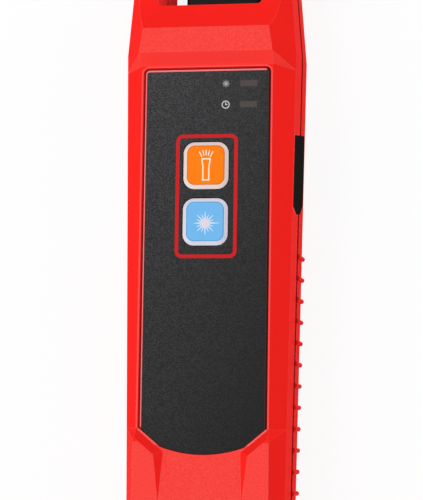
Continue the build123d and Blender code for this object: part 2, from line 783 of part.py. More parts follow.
def seal_ring(gap):
    """Ring that follows the seam, broken where the nose block passes through."""
    outer = slab(seal_outline(SEAL_MARGIN + SEAL_WIDTH - gap), SEAM_Z - SEAL_HEIGHT + gap, SEAM_Z)
    inner = slab(seal_outline(SEAL_MARGIN + gap), SEAM_Z - 2 * SEAL_HEIGHT, SEAM_Z + OVER)
    return outer - inner


def make_rear_shell():
    """Rear shell: battery bay, door slot, screw bosses, laser cradles and grip ribs."""
    shell = rear_form() - rear_cavity() + bay_block(BAY_WALL)
    for rib in grip_ribs():
        shell += rib
    for x, y in screw_places():
        shell += rod_z(x, y, REAR_BOSS_R, WALL / 2, SEAM_Z)
    laser_low_y = NOSE_INNER_Y - LASER_LENGTH
    for offset in (CRADLE_INSET, CRADLE_INSET + CRADLE_PITCH):
        y = laser_low_y + offset
        shell += block(
            -CRADLE_HALF_WIDTH, CRADLE_HALF_WIDTH, y, y + CRADLE_THICKNESS, WALL / 2, PORT_Z
        )
    shell -= rod_y(0, PORT_Z, LASER_R + DIODE_FIT, laser_low_y, NOSE_INNER_Y)
    for x, y in screw_places():
        shell -= rod_z(x, y, SCREW_HOLE_R, -OVER, SEAM_Z + OVER)
        shell -= rod_z(x, y, SCREW_HEAD_R + COUNTERBORE_FIT, -OVER, SCREW_SEAT_Z)
    shell -= bay_block(0)
    shell -= door_profile(0)
    shell -= seal_ring(0)
    shell -= nose_opening()
    shell -= pad_pockets()
    shell -= horn_cores()
    shell -= hook_pockets()
    for x in (-CELL_X, CELL_X):
        shell -= contact_tab(x, SPRING_CLEARANCE)
    return shell


def make_seam_gasket():
    """Soft seal in the rear shell's groove, ending at the nose block."""
    return seal_ring(SEAL_FIT) - nose_opening()


def make_grip_pad(side):
    """Rubber grip pad held between the shells, flush with their sides."""
    envelope = front_form() + rear_form()
    return pad_prism(side) & envelope


def make_face_plate():
    """Dark face plate with its key and indicator openings."""
    plate = slab(plate_outline(), RECESS_Z, PLATE_Z)
    return plate - face_openings(KEY_GAP, LAMP_FIT, RECESS_Z - OVER, PLATE_Z + OVER)


def make_key(y):
    """Key with a retaining flange below and a bevelled border round its top."""
    key = slab(key_outline(y, KEY_FLANGE), KEY_FOOT_Z, KEY_FLANGE_Z)
    key += slab(key_outline(y), KEY_FOOT_Z, PLATE_Z)
    low = Pos(0, 0, PLATE_Z) * key_outline(y)
    high = Pos(0, 0, PLATE_Z + KEY_BEVEL_HEIGHT) * key_outline(y, -KEY_BORDER)
    return key + loft([low, high])


def make_switch(y):
    """Housing of a push switch on the circuit board."""
    half = SWITCH_SIZE / 2
    body = block(-half, half, y - half, y + half, BOARD_FACE_Z, SWITCH_TOP_Z)
    depth = PLUNGER_DEPTH + KEY_TRAVEL + 2 * PLUNGER_CLEARANCE
    return body - rod_z(0, y, PLUNGER_R + PLUNGER_CLEARANCE, SWITCH_TOP_Z - depth, SWITCH_TOP_Z + OVER)


def make_plunger(y):
    """Plunger of a push switch, under its key."""
    return rod_z(0, y, PLUNGER_R, SWITCH_TOP_Z - PLUNGER_DEPTH, PLUNGER_TOP_Z)


def make_light_guide(y):
    """Clear guide from an indicator lamp up to the plate's surface."""
    low_z = BOARD_FACE_Z + CHIP_HEIGHT + PLUNGER_CLEARANCE
    guide = slab(lamp_outline(y), low_z, PLATE_Z)
    return guide + slab(lamp_outline(y, LAMP_FLANGE), KEY_FOOT_Z, KEY_FLANGE_Z)


def make_lamp_chip(y):
    """Indicator lamp on the circuit board."""
    chip = Pos(LAMP_X, y, 0) * Rectangle(CHIP_WIDTH, LAMP_LENGTH)
    return slab(chip, BOARD_FACE_Z, BOARD_FACE_Z + CHIP_HEIGHT)


def make_circuit_board():
    """Circuit board with a tail that reaches the battery contacts."""
    half = BOARD_WIDTH / 2
    tail = BOARD_TAIL_WIDTH / 2
    board = block(-half, half, BOARD_LOW_Y, BOARD_TOP_Y, BOARD_Z, BOARD_FACE_Z)
    board += block(-tail, tail, BOARD_TAIL_Y, BOARD_LOW_Y, BOARD_Z, BOARD_FACE_Z)
    for x, y in standoff_places():
        board -= rod_z(x, y, BOARD_SCREW_R + PLUNGER_CLEARANCE, BOARD_Z - OVER, BOARD_FACE_Z + OVER)
    return board


def make_controller():
    """Controller chip on the circuit board, beside the indicator lamps."""
    y = (LASER_LAMP_Y + TIMER_LAMP_Y) / 2
    chip = Pos(CONTROLLER_X, y, 0) * Rectangle(CONTROLLER_SIZE, CONTROLLER_SIZE)
    return slab(chip, BOARD_FACE_Z, BOARD_FACE_Z + CONTROLLER_HEIGHT)


def make_board_screws():
    """Screws that hold the circuit board to the standoffs."""
    screws = []
    for x, y in standoff_places():
        screw = rod_z(x, y, BOARD_SCREW_HEAD_R, BOARD_Z - BOARD_SCREW_HEAD, BOARD_Z)
        screw += rod_z(x, y, BOARD_SCREW_R, BOARD_Z, BOARD_FACE_Z + BOARD_SCREW_REACH)
        screws.append(screw)
    return Compound(children=screws)


def make_nose_block():
    """Moulded block in the notch floor that carries the fibre port and the torch."""
    head = nose_section(0, FLOOR_Y + FIT, BLOCK_TOP_Y)
    head = fillet(head.edges().filter_by(Axis.Y), BLOCK_CORNER_R)
    lip_top = FLOOR_Y - WALL - FIT
    nose = head + nose_section(BLOCK_NECK_INSET, lip_top - FIT, FLOOR_Y + 2 * FIT)
    nose += nose_section(0, NOSE_INNER_Y, lip_top)
    nose -= rod_y(0, PORT_Z, PORT_R + FIT, NOSE_INNER_Y - OVER, BLOCK_TOP_Y + OVER)
    flange_top = NOSE_INNER_Y + TORCH_FLANGE + FIT
    nose -= rod_y(TORCH_X, PORT_Z, TORCH_R, NOSE_INNER_Y - OVER, flange_top)
    nose -= rod_y(TORCH_X, PORT_Z, TORCH_LED_R + DIODE_FIT, NOSE_INNER_Y, BLOCK_TOP_Y)
    window_low = BLOCK_TOP_Y - TORCH_LENS_THICKNESS - FIT
    return nose - rod_y(TORCH_X, PORT_Z, TORCH_R, window_low, BLOCK_TOP_Y + OVER)


def make_fibre_port():
    """Plated port barrel with a flange on the nose block."""
    port = rod_y(0, PORT_Z, PORT_R, PORT_LOW_Y, PORT_TOP_Y)
    port += rod_y(0, PORT_Z, PORT_FLANGE_R, BLOCK_TOP_Y, BLOCK_TOP_Y + PORT_FLANGE)
    bore_low = PORT_TOP_Y - SLEEVE_RECESS - SLEEVE_LENGTH
    port -= rod_y(0, PORT_Z, SLEEVE_R + FIT, bore_low, PORT_TOP_Y + OVER)
    return port - rod_y(0, PORT_Z, PORT_APERTURE_R, PORT_LOW_Y - OVER, bore_low + OVER)


def make_ferrule_sleeve():
    """Ceramic sleeve that centres the fibre's ferrule."""
    top_y = PORT_TOP_Y - SLEEVE_RECESS
    low_y = top_y - SLEEVE_LENGTH
    sleeve = rod_y(0, PORT_Z, SLEEVE_R, low_y, top_y)
    return sleeve - rod_y(0, PORT_Z, SLEEVE_BORE_R, low_y - OVER, top_y + OVER)


def make_laser_barrel():
    """Laser module's barrel, with a spigot behind the fibre port."""
    top_y = NOSE_INNER_Y - FIT
    low_y = NOSE_INNER_Y - LASER_LENGTH
    barrel = rod_y(0, PORT_Z, LASER_R, low_y, top_y)
    barrel += rod_y(0, PORT_Z, PORT_R - DIODE_FIT, top_y, top_y + SPIGOT_LENGTH)
    bore_top = low_y + LASER_BORE_DEPTH
    barrel -= rod_y(0, PORT_Z, LASER_R - LASER_WALL, low_y - OVER, bore_top)
    return barrel - rod_y(0, PORT_Z, APERTURE_R, low_y, top_y + SPIGOT_LENGTH + OVER)


def make_focus_lens():
    """Lens that focuses the laser into the fibre."""
    top_y = NOSE_INNER_Y - LASER_LENGTH + LASER_BORE_DEPTH - FIT
    return rod_y(0, PORT_Z, LASER_R - LASER_WALL - FIT, top_y - LENS_THICKNESS, top_y)


def make_laser_diode():
    """Laser diode in the rear end of the barrel, with its three pins."""
    low_y = NOSE_INNER_Y - LASER_LENGTH
    diode = rod_y(0, PORT_Z, LASER_R - LASER_WALL - FIT, low_y, low_y + DIODE_THICKNESS)
    for turn in range(PIN_COUNT):
        angle = math.pi / 2 + 2 * math.pi * turn / PIN_COUNT
        x = PIN_SPREAD * math.cos(angle)
        z = PORT_Z + PIN_SPREAD * math.sin(angle)
        diode += rod_y(x, z, PIN_R, low_y - PIN_LENGTH, low_y)
    return diode


def flex_strip(x, back_y, board_y):
    """Flat flexible strip: up behind a lamp or diode, then along under the circuit board."""
    half = FLEX_WIDTH / 2
    t = FLEX_THICKNESS
    upright = block(x - half, x + half, back_y - t, back_y, PORT_Z - half, BOARD_Z - FIT)
    low_y, top_y = sorted((back_y - t / 2, board_y))
    return upright + block(x - half, x + half, low_y, top_y, BOARD_Z - FIT - t, BOARD_Z - FIT)


def make_laser_flex():
    """Strip from the laser diode's pins to the circuit board."""
    back_y = NOSE_INNER_Y - LASER_LENGTH - PIN_LENGTH
    return flex_strip(0, back_y, back_y - FLEX_WIDTH)


def make_torch_led():
    """Torch lamp: flanged clear body with a domed end and two leads."""
    lens_low = BLOCK_TOP_Y - TORCH_LENS_THICKNESS
    dome_y = lens_low - FIT - TORCH_LED_R
    low_y = NOSE_INNER_Y
    lamp = rod_y(TORCH_X, PORT_Z, TORCH_R - FIT, low_y, low_y + TORCH_FLANGE)
    lamp += rod_y(TORCH_X, PORT_Z, TORCH_LED_R, low_y + TORCH_FLANGE, dome_y)
    lamp += Pos(TORCH_X, dome_y, PORT_Z) * Sphere(TORCH_LED_R)
    for x in (TORCH_X - PIN_SPREAD, TORCH_X + PIN_SPREAD):
        lamp += rod_y(x, PORT_Z, PIN_R, low_y - PIN_LENGTH, low_y)
    return lamp


def make_torch_lens():
    """Clear window over the torch lamp."""
    return rod_y(TORCH_X, PORT_Z, TORCH_R - FIT, BLOCK_TOP_Y - TORCH_LENS_THICKNESS, BLOCK_TOP_Y)


def make_torch_flex():
    """Strip from the torch lamp's leads to the circuit board."""
    return flex_strip(TORCH_X, NOSE_INNER_Y - PIN_LENGTH, BOARD_TOP_Y - FLEX_WIDTH)


def make_dust_cap():
    """Pull-off cap over the fibre port, with grip grooves round it."""
    low_y = BLOCK_TOP_Y + PORT_FLANGE + CAP_GAP
    inner_r = PORT_R + CAP_FIT
    outer_r = inner_r + CAP_WALL
    cap = rod_y(0, PORT_Z, outer_r, low_y, low_y + CAP_LENGTH)
    cap -= rod_y(0, PORT_Z, inner_r, low_y - OVER, PORT_TOP_Y + CAP_HEADROOM)
    for turn in range(CAP_GRIPS):
        angle = 2 * math.pi * turn / CAP_GRIPS
        x = outer_r * math.cos(angle)
        z = PORT_Z + outer_r * math.sin(angle)
        cap -= rod_y(x, z, CAP_GRIP_R, low_y + CAP_GRIP_MARGIN, low_y + CAP_LENGTH - CAP_GRIP_MARGIN)
    return cap


def make_cell(side):
    """One cell of the pair: the left one's nib points up, the right one's down."""
    x = side * CELL_X
    if side < 0:
        low_y = BAY_LOW_Y + CONTACT_THICKNESS + SPRING_HEIGHT
        nib = rod_y(x, CELL_Z, CELL_NIB_R, low_y + CELL_LENGTH, low_y + CELL_LENGTH + CELL_NIB)
    else:
        low_y = BAY_LOW_Y + CONTACT_THICKNESS + CELL_NIB
        nib = rod_y(x, CELL_Z, CELL_NIB_R, low_y - CELL_NIB, low_y)
    return rod_y(x, CELL_Z, CELL_R, low_y, low_y + CELL_LENGTH) + nib


def contact_plate(x0, x1, y0, y1):
    """Flat sprung-metal contact against an end of the battery bay."""
    half = CONTACT_HEIGHT / 2
    return block(x0, x1, y0, y1, CELL_Z - half, CELL_Z + half)


def contact_tab(x, gap):
    """Solder tab of a contact, through the bay's wall to the circuit board's tail."""
    half = TAB_WIDTH / 2 + gap
    return block(
        x - half, x + half, BAY_TOP_Y - CONTACT_THICKNESS, BOARD_TAIL_Y + TAB_REACH,
        BOARD_Z - CONTACT_THICKNESS - gap, BOARD_Z - FIT + gap
    )


def make_contact(side):
    """Contact at the bay's upper end, with its solder tab."""
    x = side * CELL_X
    half = CONTACT_WIDTH / 2
    plate = contact_plate(x - half, x + half, BAY_TOP_Y - CONTACT_THICKNESS, BAY_TOP_Y)
    return plate + contact_tab(x, 0)


def make_contact_bridge():
    """Contact across the bay's lower end, which joins the two cells."""
    reach = CELL_X + CONTACT_WIDTH / 2
    return contact_plate(-reach, reach, BAY_LOW_Y, BAY_LOW_Y + CONTACT_THICKNESS)


def make_cell_spring(side):
    """Conical contact spring of six-sided wire, pressed between a contact and a cell's flat end."""
    height = SPRING_HEIGHT - 2 * SPRING_WIRE_R - 2 * SPRING_CLEARANCE
    cone = math.degrees(math.atan2(-SPRING_TAPER, height))
    path = Helix(height / SPRING_TURNS, height, SPRING_R, cone_angle=cone)
    section = RegularPolygon(SPRING_WIRE_R, SPRING_WIRE_SIDES)
    wire = sweep(Plane(origin=path @ 0, z_dir=path % 0) * section, path, is_frenet=True)
    inset = SPRING_WIRE_R + SPRING_CLEARANCE
    if side < 0:
        return Pos(-CELL_X, BAY_LOW_Y + CONTACT_THICKNESS + inset, CELL_Z) * Rot(-90, 0, 0) * wire
    return Pos(CELL_X, BAY_TOP_Y - CONTACT_THICKNESS - inset, CELL_Z) * Rot(90, 0, 0) * wire


def make_battery_door():
    """Sliding battery door with side flanges and thumb grooves."""
    door = door_profile(DOOR_FIT) & (rear_form() + bay_block(0))
    for i in range(DOOR_GRIPS):
        y = END_Y + DOOR_GRIP_INSET + i * DOOR_GRIP_PITCH
        groove = Pos(0, y, 0) * Rot(0, 90, 0) * Cylinder(DOOR_GRIP_R, DOOR_GRIP_WIDTH)
        door -= groove
    return door


def make_shell_screws():
    """Screws that hold the shells together, entered from the rear."""
    screws = []
    for x, y in screw_places():
        screw = rod_z(x, y, SCREW_HEAD_R, SCREW_SEAT_Z - SCREW_HEAD, SCREW_SEAT_Z)
        screw += rod_z(x, y, SCREW_R, SCREW_SEAT_Z, SEAM_Z + SCREW_REACH - FIT)
        drive = Pos(x, y, 0) * RegularPolygon(DRIVE_R, 6)
        head_low = SCREW_SEAT_Z - SCREW_HEAD
        screws.append(screw - slab(drive, head_low - OVER, head_low + DRIVE_DEPTH))
    return Compound(children=screws)


def make_thread_inserts():
    """Brass inserts in the front shell's bosses."""
    inserts = []
    for x, y in screw_places():
        insert = rod_z(x, y, INSERT_R, SEAM_Z, SEAM_Z + INSERT_LENGTH)
        inserts.append(insert - rod_z(x, y, SCREW_R + FIT, SEAM_Z - 1, SEAM_Z + INSERT_LENGTH + 1))
    return Compound(children=inserts)


def make_pieces():
    """Every piece of the tester by its name."""
    return {
        "front_shell": make_front_shell(),
        "rear_shell": make_rear_shell(),
        "seam_gasket": make_seam_gasket(),
        "grip_pad_right": make_grip_pad(1),
        "grip_pad_left": make_grip_pad(-1),
        "face_plate": make_face_plate(),
        "torch_key": make_key(TORCH_KEY_Y),
        "laser_key": make_key(LASER_KEY_Y),
        "torch_switch": make_switch(TORCH_KEY_Y),
        "laser_switch": make_switch(LASER_KEY_Y),
        "torch_plunger": make_plunger(TORCH_KEY_Y),
        "laser_plunger": make_plunger(LASER_KEY_Y),
        "laser_light_guide": make_light_guide(LASER_LAMP_Y),
        "timer_light_guide": make_light_guide(TIMER_LAMP_Y),
        "laser_lamp": make_lamp_chip(LASER_LAMP_Y),
        "timer_lamp": make_lamp_chip(TIMER_LAMP_Y),
        "circuit_board": make_circuit_board(),
        "controller_chip": make_controller(),
        "board_screws": make_board_screws(),
        "nose_block": make_nose_block(),
        "fibre_port": make_fibre_port(),
        "ferrule_sleeve": make_ferrule_sleeve(),
        "laser_barrel": make_laser_barrel(),
        "focus_lens": make_focus_lens(),
        "laser_diode": make_laser_diode(),
        "laser_flex": make_laser_flex(),
        "torch_led": make_torch_led(),
        "torch_lens": make_torch_lens(),
        "torch_flex": make_torch_flex(),
        "dust_cap": make_dust_cap(),
        "left_cell": make_cell(-1),
        "right_cell": make_cell(1),
        "contact_plus": make_contact(-1),
        "contact_minus": make_contact(1),
        "contact_bridge": make_contact_bridge(),
        "lower_cell_spring": make_cell_spring(-1),
        "upper_cell_spring": make_cell_spring(1),
        "battery_door": make_battery_door(),
        "shell_screws": make_shell_screws(),
        "thread_inserts": make_thread_inserts(),
    }


os.makedirs("parts", exist_ok=True)
for name, piece in make_pieces().items():
    export_step(piece, f"parts/{name}.step")
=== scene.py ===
import logging
import math
from dataclasses import dataclass, field
from enum import Enum
from typing import Any, Callable, Iterable, Protocol, Sequence, Union

import bmesh
import bpy
import numpy as np
from bpy.types import Material
from mathutils import Matrix, Vector


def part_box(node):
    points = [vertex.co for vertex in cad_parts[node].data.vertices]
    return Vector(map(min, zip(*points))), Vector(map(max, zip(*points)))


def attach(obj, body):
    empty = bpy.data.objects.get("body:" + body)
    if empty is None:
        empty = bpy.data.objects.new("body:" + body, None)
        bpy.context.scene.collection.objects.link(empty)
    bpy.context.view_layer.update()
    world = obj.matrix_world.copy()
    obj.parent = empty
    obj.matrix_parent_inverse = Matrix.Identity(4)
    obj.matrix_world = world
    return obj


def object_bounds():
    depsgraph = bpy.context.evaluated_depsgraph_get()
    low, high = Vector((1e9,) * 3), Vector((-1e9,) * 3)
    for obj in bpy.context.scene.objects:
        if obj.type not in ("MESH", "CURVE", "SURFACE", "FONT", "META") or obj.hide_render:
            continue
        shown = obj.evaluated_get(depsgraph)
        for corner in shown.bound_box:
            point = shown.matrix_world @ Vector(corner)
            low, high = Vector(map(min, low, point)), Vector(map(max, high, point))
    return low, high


# The looks of a hand-held visual fault locator: a red faceted housing with a dark face plate.
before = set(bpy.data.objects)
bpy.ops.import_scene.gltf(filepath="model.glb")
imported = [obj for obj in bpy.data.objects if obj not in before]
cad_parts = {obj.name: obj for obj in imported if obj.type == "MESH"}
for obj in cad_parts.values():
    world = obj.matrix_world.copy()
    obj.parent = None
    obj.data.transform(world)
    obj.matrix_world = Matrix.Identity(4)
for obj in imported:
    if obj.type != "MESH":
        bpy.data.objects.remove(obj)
CAD_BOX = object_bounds()

LOG = logging.getLogger("fault_locator")
MM = 0.001

# A pair is X and Y, two tints, a reach down and up, or where a step starts and where it ends.
Pair = tuple[float, float]
Triple = tuple[float, float, float]
Colour = Triple
Number = Union[float, "Wire"]


class Body(Enum):
    """The bodies that the new pieces ride on."""

    HOUSING = "housing"
    TORCH_KEY = "torch_key"
    LASER_KEY = "laser_key"


class Channel(Enum):
    """The shader's sockets that a finish may vary over the surface."""

    COLOUR = "Base Color"
    ROUGHNESS = "Roughness"
    COAT = "Coat Weight"
    NORMAL = "Normal"


def tinted(colour: Colour, factor: float) -> Colour:
    """The colour made lighter or darker by a factor."""
    return (colour[0] * factor, colour[1] * factor, colour[2] * factor)


def node_box(node: str) -> tuple[np.ndarray, np.ndarray]:
    """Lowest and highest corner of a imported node, in millimetres."""
    low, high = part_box(node)
    return np.array(low) / MM, np.array(high) / MM


def placed(name: str, data: bpy.types.ID) -> bpy.types.Object:
    """Makes an object and puts it into the scene.

    Args:
        name: its name.
        data: its mesh, lamp or camera.

    Returns:
        The object.
    """
    made = bpy.data.objects.new(name, data)
    bpy.context.scene.collection.objects.link(made)
    return made


@dataclass(frozen=True)
class Outline:
    """A rounded rectangle seen along Z, in millimetres."""

    centre: Pair
    size: Pair
    corner: float


def operator(operation: str, last: bool = False) -> Callable[["Wire", Number], "Wire"]:
    """Makes a wire's method for an operation on two numbers.

    Args:
        operation: the Math node's operation.
        last: whether the wire is the second of the two, as in 1 - wire.

    Returns:
        The method, which takes the other number.
    """

    def apply(wire: "Wire", other: Number) -> "Wire":
        """Adds the Math node."""
        return wire.math(operation, other, wire) if last else wire.math(operation, wire, other)

    return apply


class Wire:
    """A number on a shader's socket that adds Math nodes as it takes part in an expression."""

    __add__ = __radd__ = operator("ADD")
    __sub__ = operator("SUBTRACT")
    __rsub__ = operator("SUBTRACT", last=True)
    __mul__ = __rmul__ = operator("MULTIPLY")
    __truediv__ = operator("DIVIDE")
    __pow__ = operator("POWER")
    least = operator("MINIMUM")
    most = operator("MAXIMUM")

    def __init__(self, tree: "Tree", socket: bpy.types.NodeSocket) -> None:
        """Wraps one socket of a node tree."""
        self.tree = tree
        self.socket = socket

    def math(self, operation: str, *terms: Number) -> "Wire":
        """Adds one Math node on the terms."""
        return self.tree.node("ShaderNodeMath", {"operation": operation}, dict(enumerate(terms)))

    def __abs__(self) -> "Wire":
        """Size without its sign."""
        return self.math("ABSOLUTE", self)

    def wave(self) -> "Wire":
        """Sine."""
        return self.math("SINE", self)

    def ramp(self, start: float, end: float) -> "Wire":
        """A smooth step: 0 up to start, 1 from end on.

        Args:
            start: value at which the step begins.
            end: value at which it is complete; it may be below start.

        Returns:
            The step, from 0 to 1.
        """
        low, high = min(start, end), max(start, end)
        step = self.tree.node(
            "ShaderNodeMapRange",
            {"interpolation_type": "SMOOTHSTEP"},
            {"Value": self, "From Min": low, "From Max": high},
        )
        return step if start < end else 1 - step


class Tree:
    """A node tree of a material or of the world."""

    def __init__(self, owner: Material | bpy.types.World) -> None:
        """Switches the owner's nodes on.

        Args:
            owner: the material or the world.
        """
        owner.use_nodes = True
        self.nodes = owner.node_tree.nodes
        self.links = owner.node_tree.links

    def node(
        self, kind: str, settings: dict[str, Any] | None = None,
        inputs: dict[Any, Any] | None = None, output: int | str = 0,
    ) -> Wire:
        """Adds any node, sets it up and feeds its sockets.

        Args:
            kind: the node's type.
            settings: the node's own properties, which are set first.
            inputs: numbers, colours or wires, by the socket's name or index.
            output: name or index of the output socket.

        Returns:
            The output socket as a wire.
        """
        made = self.nodes.new(kind)
        for key, value in (settings or {}).items():
            setattr(made, key, value)
        for key, value in (inputs or {}).items():
            if isinstance(value, Wire):
                self.links.new(value.socket, made.inputs[key])
            else:
                made.inputs[key].default_value = value
        return Wire(self, made.outputs[output])

    def in_view(self) -> Wire:
        """Picks the rays that show the background to the eye, in a reflection or through glass.

        Returns:
            1 for such a ray, 0 for any other.
        """
        path = self.node("ShaderNodeLightPath").socket.node
        camera, glossy, passing = (
            Wire(self, path.outputs[f"Is {kind} Ray"]) for kind in ("Camera", "Glossy", "Transmission")
        )
        return camera.most(glossy).most(passing)


class Shader(Tree):
    """A material's node tree round one Principled shader."""

    # How far a zone in height fades out past its limits, in millimetres.
    ZONE_BLUR = 0.04
    # Cosines between the true and the rounded normal, where an edge begins and where it is full.
    EDGE_TURN = (0.999, 0.97)

    def __init__(self, name: str) -> None:
        """Starts a material.

        Args:
            name: the material's name.
        """
        self.material = bpy.data.materials.new(name)
        super().__init__(self.material)
        self.surface = self.nodes["Principled BSDF"]
        self._place: tuple[Wire, Wire, Wire] | None = None

    def vary(self, channel: Channel, wire: Wire) -> None:
        """Links a wire to one of the shader's sockets."""
        self.links.new(wire.socket, self.surface.inputs[channel.value])

    def finish(self, colour: Wire, roughness: Wire, normal: Wire, **fixed: float) -> Material:
        """Feeds the channels that every finish varies, and sets its constants.

        Args:
            colour: the surface's colour.
            roughness: its roughness.
            normal: its normal.
            fixed: values of the shader's own sockets, with underscores standing for spaces.

        Returns:
            The finished material.
        """
        self.vary(Channel.COLOUR, colour)
        self.vary(Channel.ROUGHNESS, roughness)
        self.vary(Channel.NORMAL, normal)
        for key, value in fixed.items():
            self.surface.inputs[key.replace("_", " ")].default_value = value
        return self.material

    def point(self) -> Wire:
        """The point on the piece, in its own coordinates."""
        return self.node("ShaderNodeTexCoord", output="Object")

    def place(self) -> tuple[Wire, Wire, Wire]:
        """Splits the point into its coordinates, once for each material.

        Returns:
            X, Y and Z in millimetres.
        """
        if self._place is None:
            split = self.node("ShaderNodeSeparateXYZ", inputs={0: self.point()}).socket.node
            x, y, z = (Wire(self, split.outputs[i]) / MM for i in range(3))
            self._place = (x, y, z)
        return self._place

    def facing(self, axis: str = "Z") -> Wire:
        """How far the surface faces along an axis, 1 where it is square to it."""
        normal = self.node("ShaderNodeTexCoord", output="Normal")
        return self.node("ShaderNodeSeparateXYZ", inputs={0: normal}, output=axis)

    def noise(self, size: float, detail: float = 2.0, stretch: Sequence[float] = (1, 1, 1)) -> Wire:
        """Soft noise from 0 to 1.

        Args:
            size: size of its features in millimetres.
            detail: number of finer layers.
            stretch: how many times denser it is along each axis.

        Returns:
            The noise as a wire.
        """
        point = self.node("ShaderNodeMapping", inputs={"Vector": self.point(), "Scale": tuple(stretch)})
        inputs = {"Vector": point, "Scale": 1 / (size * MM), "Detail": detail, "Roughness": 0.6}
        return self.node("ShaderNodeTexNoise", inputs=inputs)

    def blend(self, first: Colour | Wire, second: Colour | Wire, share: Number) -> Wire:
        """A colour between two: the first at share 0, the second at share 1."""
        ends = [(*end, 1.0) if isinstance(end, tuple) else end for end in (first, second)]
        return self.node("ShaderNodeMix", {"data_type": "RGBA"}, {0: share, 6: ends[0], 7: ends[1]}, 2)

    def mottled(self, colour: Colour, tints: Pair, share: Wire) -> Wire:
        """A colour that drifts from its tint at share 0 to its tint at share 1."""
        return self.blend(tinted(colour, tints[0]), tinted(colour, tints[1]), share)

    def relief(self, height: Wire, depth: float, edge: float) -> Wire:
        """The normal of a relief from 0 to 1, by its depth and its edges' radius in millimetres."""
        inputs = {"Distance": depth * MM, "Height": height, "Normal": self.rounded(edge)}
        return self.node("ShaderNodeBump", inputs={"Strength": 1.0, **inputs})

    def rounded(self, edge: float) -> Wire:
        """The normal of the surface with its edges rounded by a radius in millimetres."""
        return self.node("ShaderNodeBevel", {"samples": 6}, {"Radius": edge * MM})

    def between(self, low: float, high: float) -> Wire:
        """1 between two heights in millimetres, 0 outside them."""
        _, _, z = self.place()
        return z.ramp(low - self.ZONE_BLUR, low) * z.ramp(high + self.ZONE_BLUR, high)

    def near_top(self, node: str, reach: Pair) -> Wire:
        """1 near the height of a node's top, by how far it reaches below and above; 0 elsewhere."""
        top = node_box(node)[1][2]
        return self.between(top - reach[0], top + reach[1])

    def edges(self, edge: float) -> Wire:
        """Marks the edges, where the rounded normal turns from the true one.

        Args:
            edge: radius of the rounded edges in millimetres.

        Returns:
            1 on the edges, 0 elsewhere.
        """
        true = self.node("ShaderNodeNewGeometry", output="Normal")
        cosine = self.node(
            "ShaderNodeVectorMath", {"operation": "DOT_PRODUCT"}, {0: self.rounded(edge), 1: true},
            output="Value",
        )
        return cosine.ramp(*self.EDGE_TURN)

    def distance_to(self, outline: Outline) -> Wire:
        """Distance to an outline in the XY plane, below 0 inside it.

        The distance is the length of what sticks out of the rectangle of corner centres,
        plus the larger of the two negative parts, less the corner radius.

        Args:
            outline: the rounded rectangle.

        Returns:
            The distance in millimetres.
        """
        x, y, _ = self.place()
        over_x = abs(x - outline.centre[0]) - (outline.size[0] / 2 - outline.corner)
        over_y = abs(y - outline.centre[1]) - (outline.size[1] / 2 - outline.corner)
        out = (over_x.most(0) ** 2 + over_y.most(0) ** 2) ** 0.5
        return out + over_x.most(over_y).least(0) - outline.corner


class Finish(Protocol):
    """What can dress a piece: a name, and a method that builds the material."""

    @property
    def name(self) -> str:
        """Name of the material."""
        ...

    def material(self) -> Material:
        """Builds the material."""
        ...


@dataclass(frozen=True)
class PlateEdge:
    """The face plate's top and straight sides, for the finishes that paint lines of light and shade
    along them.

    The edge is the plate's own, moved outwards by a margin, with its top back in by an inset.
    It ends at the plate's cut low corners. The turn is where its painted lines pass into painted
    shade, beside the plate's right side.
    """

    corner: float
    turn: Pair
    margin: float = 0.0
    top_inset: float = 0.0
    straight: float = 82.5
    painted_light_fade: float = 0.2

    def measure(self, shader: Shader) -> tuple[Wire, Wire, Wire]:
        """Measures a point against the edge.

        The outline runs on to the housing's low end, so that only its top and sides count.

        Args:
            shader: the material's shader.

        Returns:
            The distance to the edge, below 0 inside it; 1 above the cut corners; 1 in the painted
            shade.
        """
        x, y, _ = shader.place()
        low, high = node_box("face_plate")
        top = high[1] + self.margin - self.top_inset
        bottom = CAD_BOX[0][1] / MM
        size = (high[0] - low[0] + 2 * self.margin, top - bottom)
        outline = Outline(((low[0] + high[0]) / 2, (top + bottom) / 2), size, self.corner)
        end = high[1] - self.straight - self.margin
        shade = x.ramp(high[0] + self.turn[0], high[0] + self.turn[1])
        return shader.distance_to(outline), y.ramp(end, end + self.painted_light_fade), shade


@dataclass(frozen=True)
class Moulded:
    """Moulded plastic or rubber: one colour with a faint mottle, fine grain and soft edges.

    The drift is a broad, slow change under the grain, drift_size times as large.
    """

    name: str
    colour: Colour
    roughness: float = 0.4
    unevenness: float = 0.12
    grain: float = 0.35
    depth: float = 0.004
    drift_size: float = 40.0
    drift_share: float = 0.3
    mottle: float = 0.06
    edge: float = 0.2
    specular: float = 0.25

    def material(self) -> Material:
        """Builds the material.

        Returns:
            The material.
        """
        shader = Shader(self.name)
        grain = shader.noise(self.grain)
        drift = shader.noise(self.grain * self.drift_size)
        share = grain * (1 - self.drift_share) + drift * self.drift_share
        colour = shader.mottled(self.colour, (1 - self.mottle, 1 + self.mottle), share)
        roughness = self.roughness + (share - 0.5) * self.unevenness
        normal = shader.relief(grain, self.depth, self.edge)
        colour = self.shade(shader, colour)
        return shader.finish(colour, roughness, normal, Specular_IOR_Level=self.specular)

    def shade(self, shader: Shader, colour: Wire) -> Wire:
        """The colour as it is; a finish with painted shade in a marked zone changes it there."""
        return colour


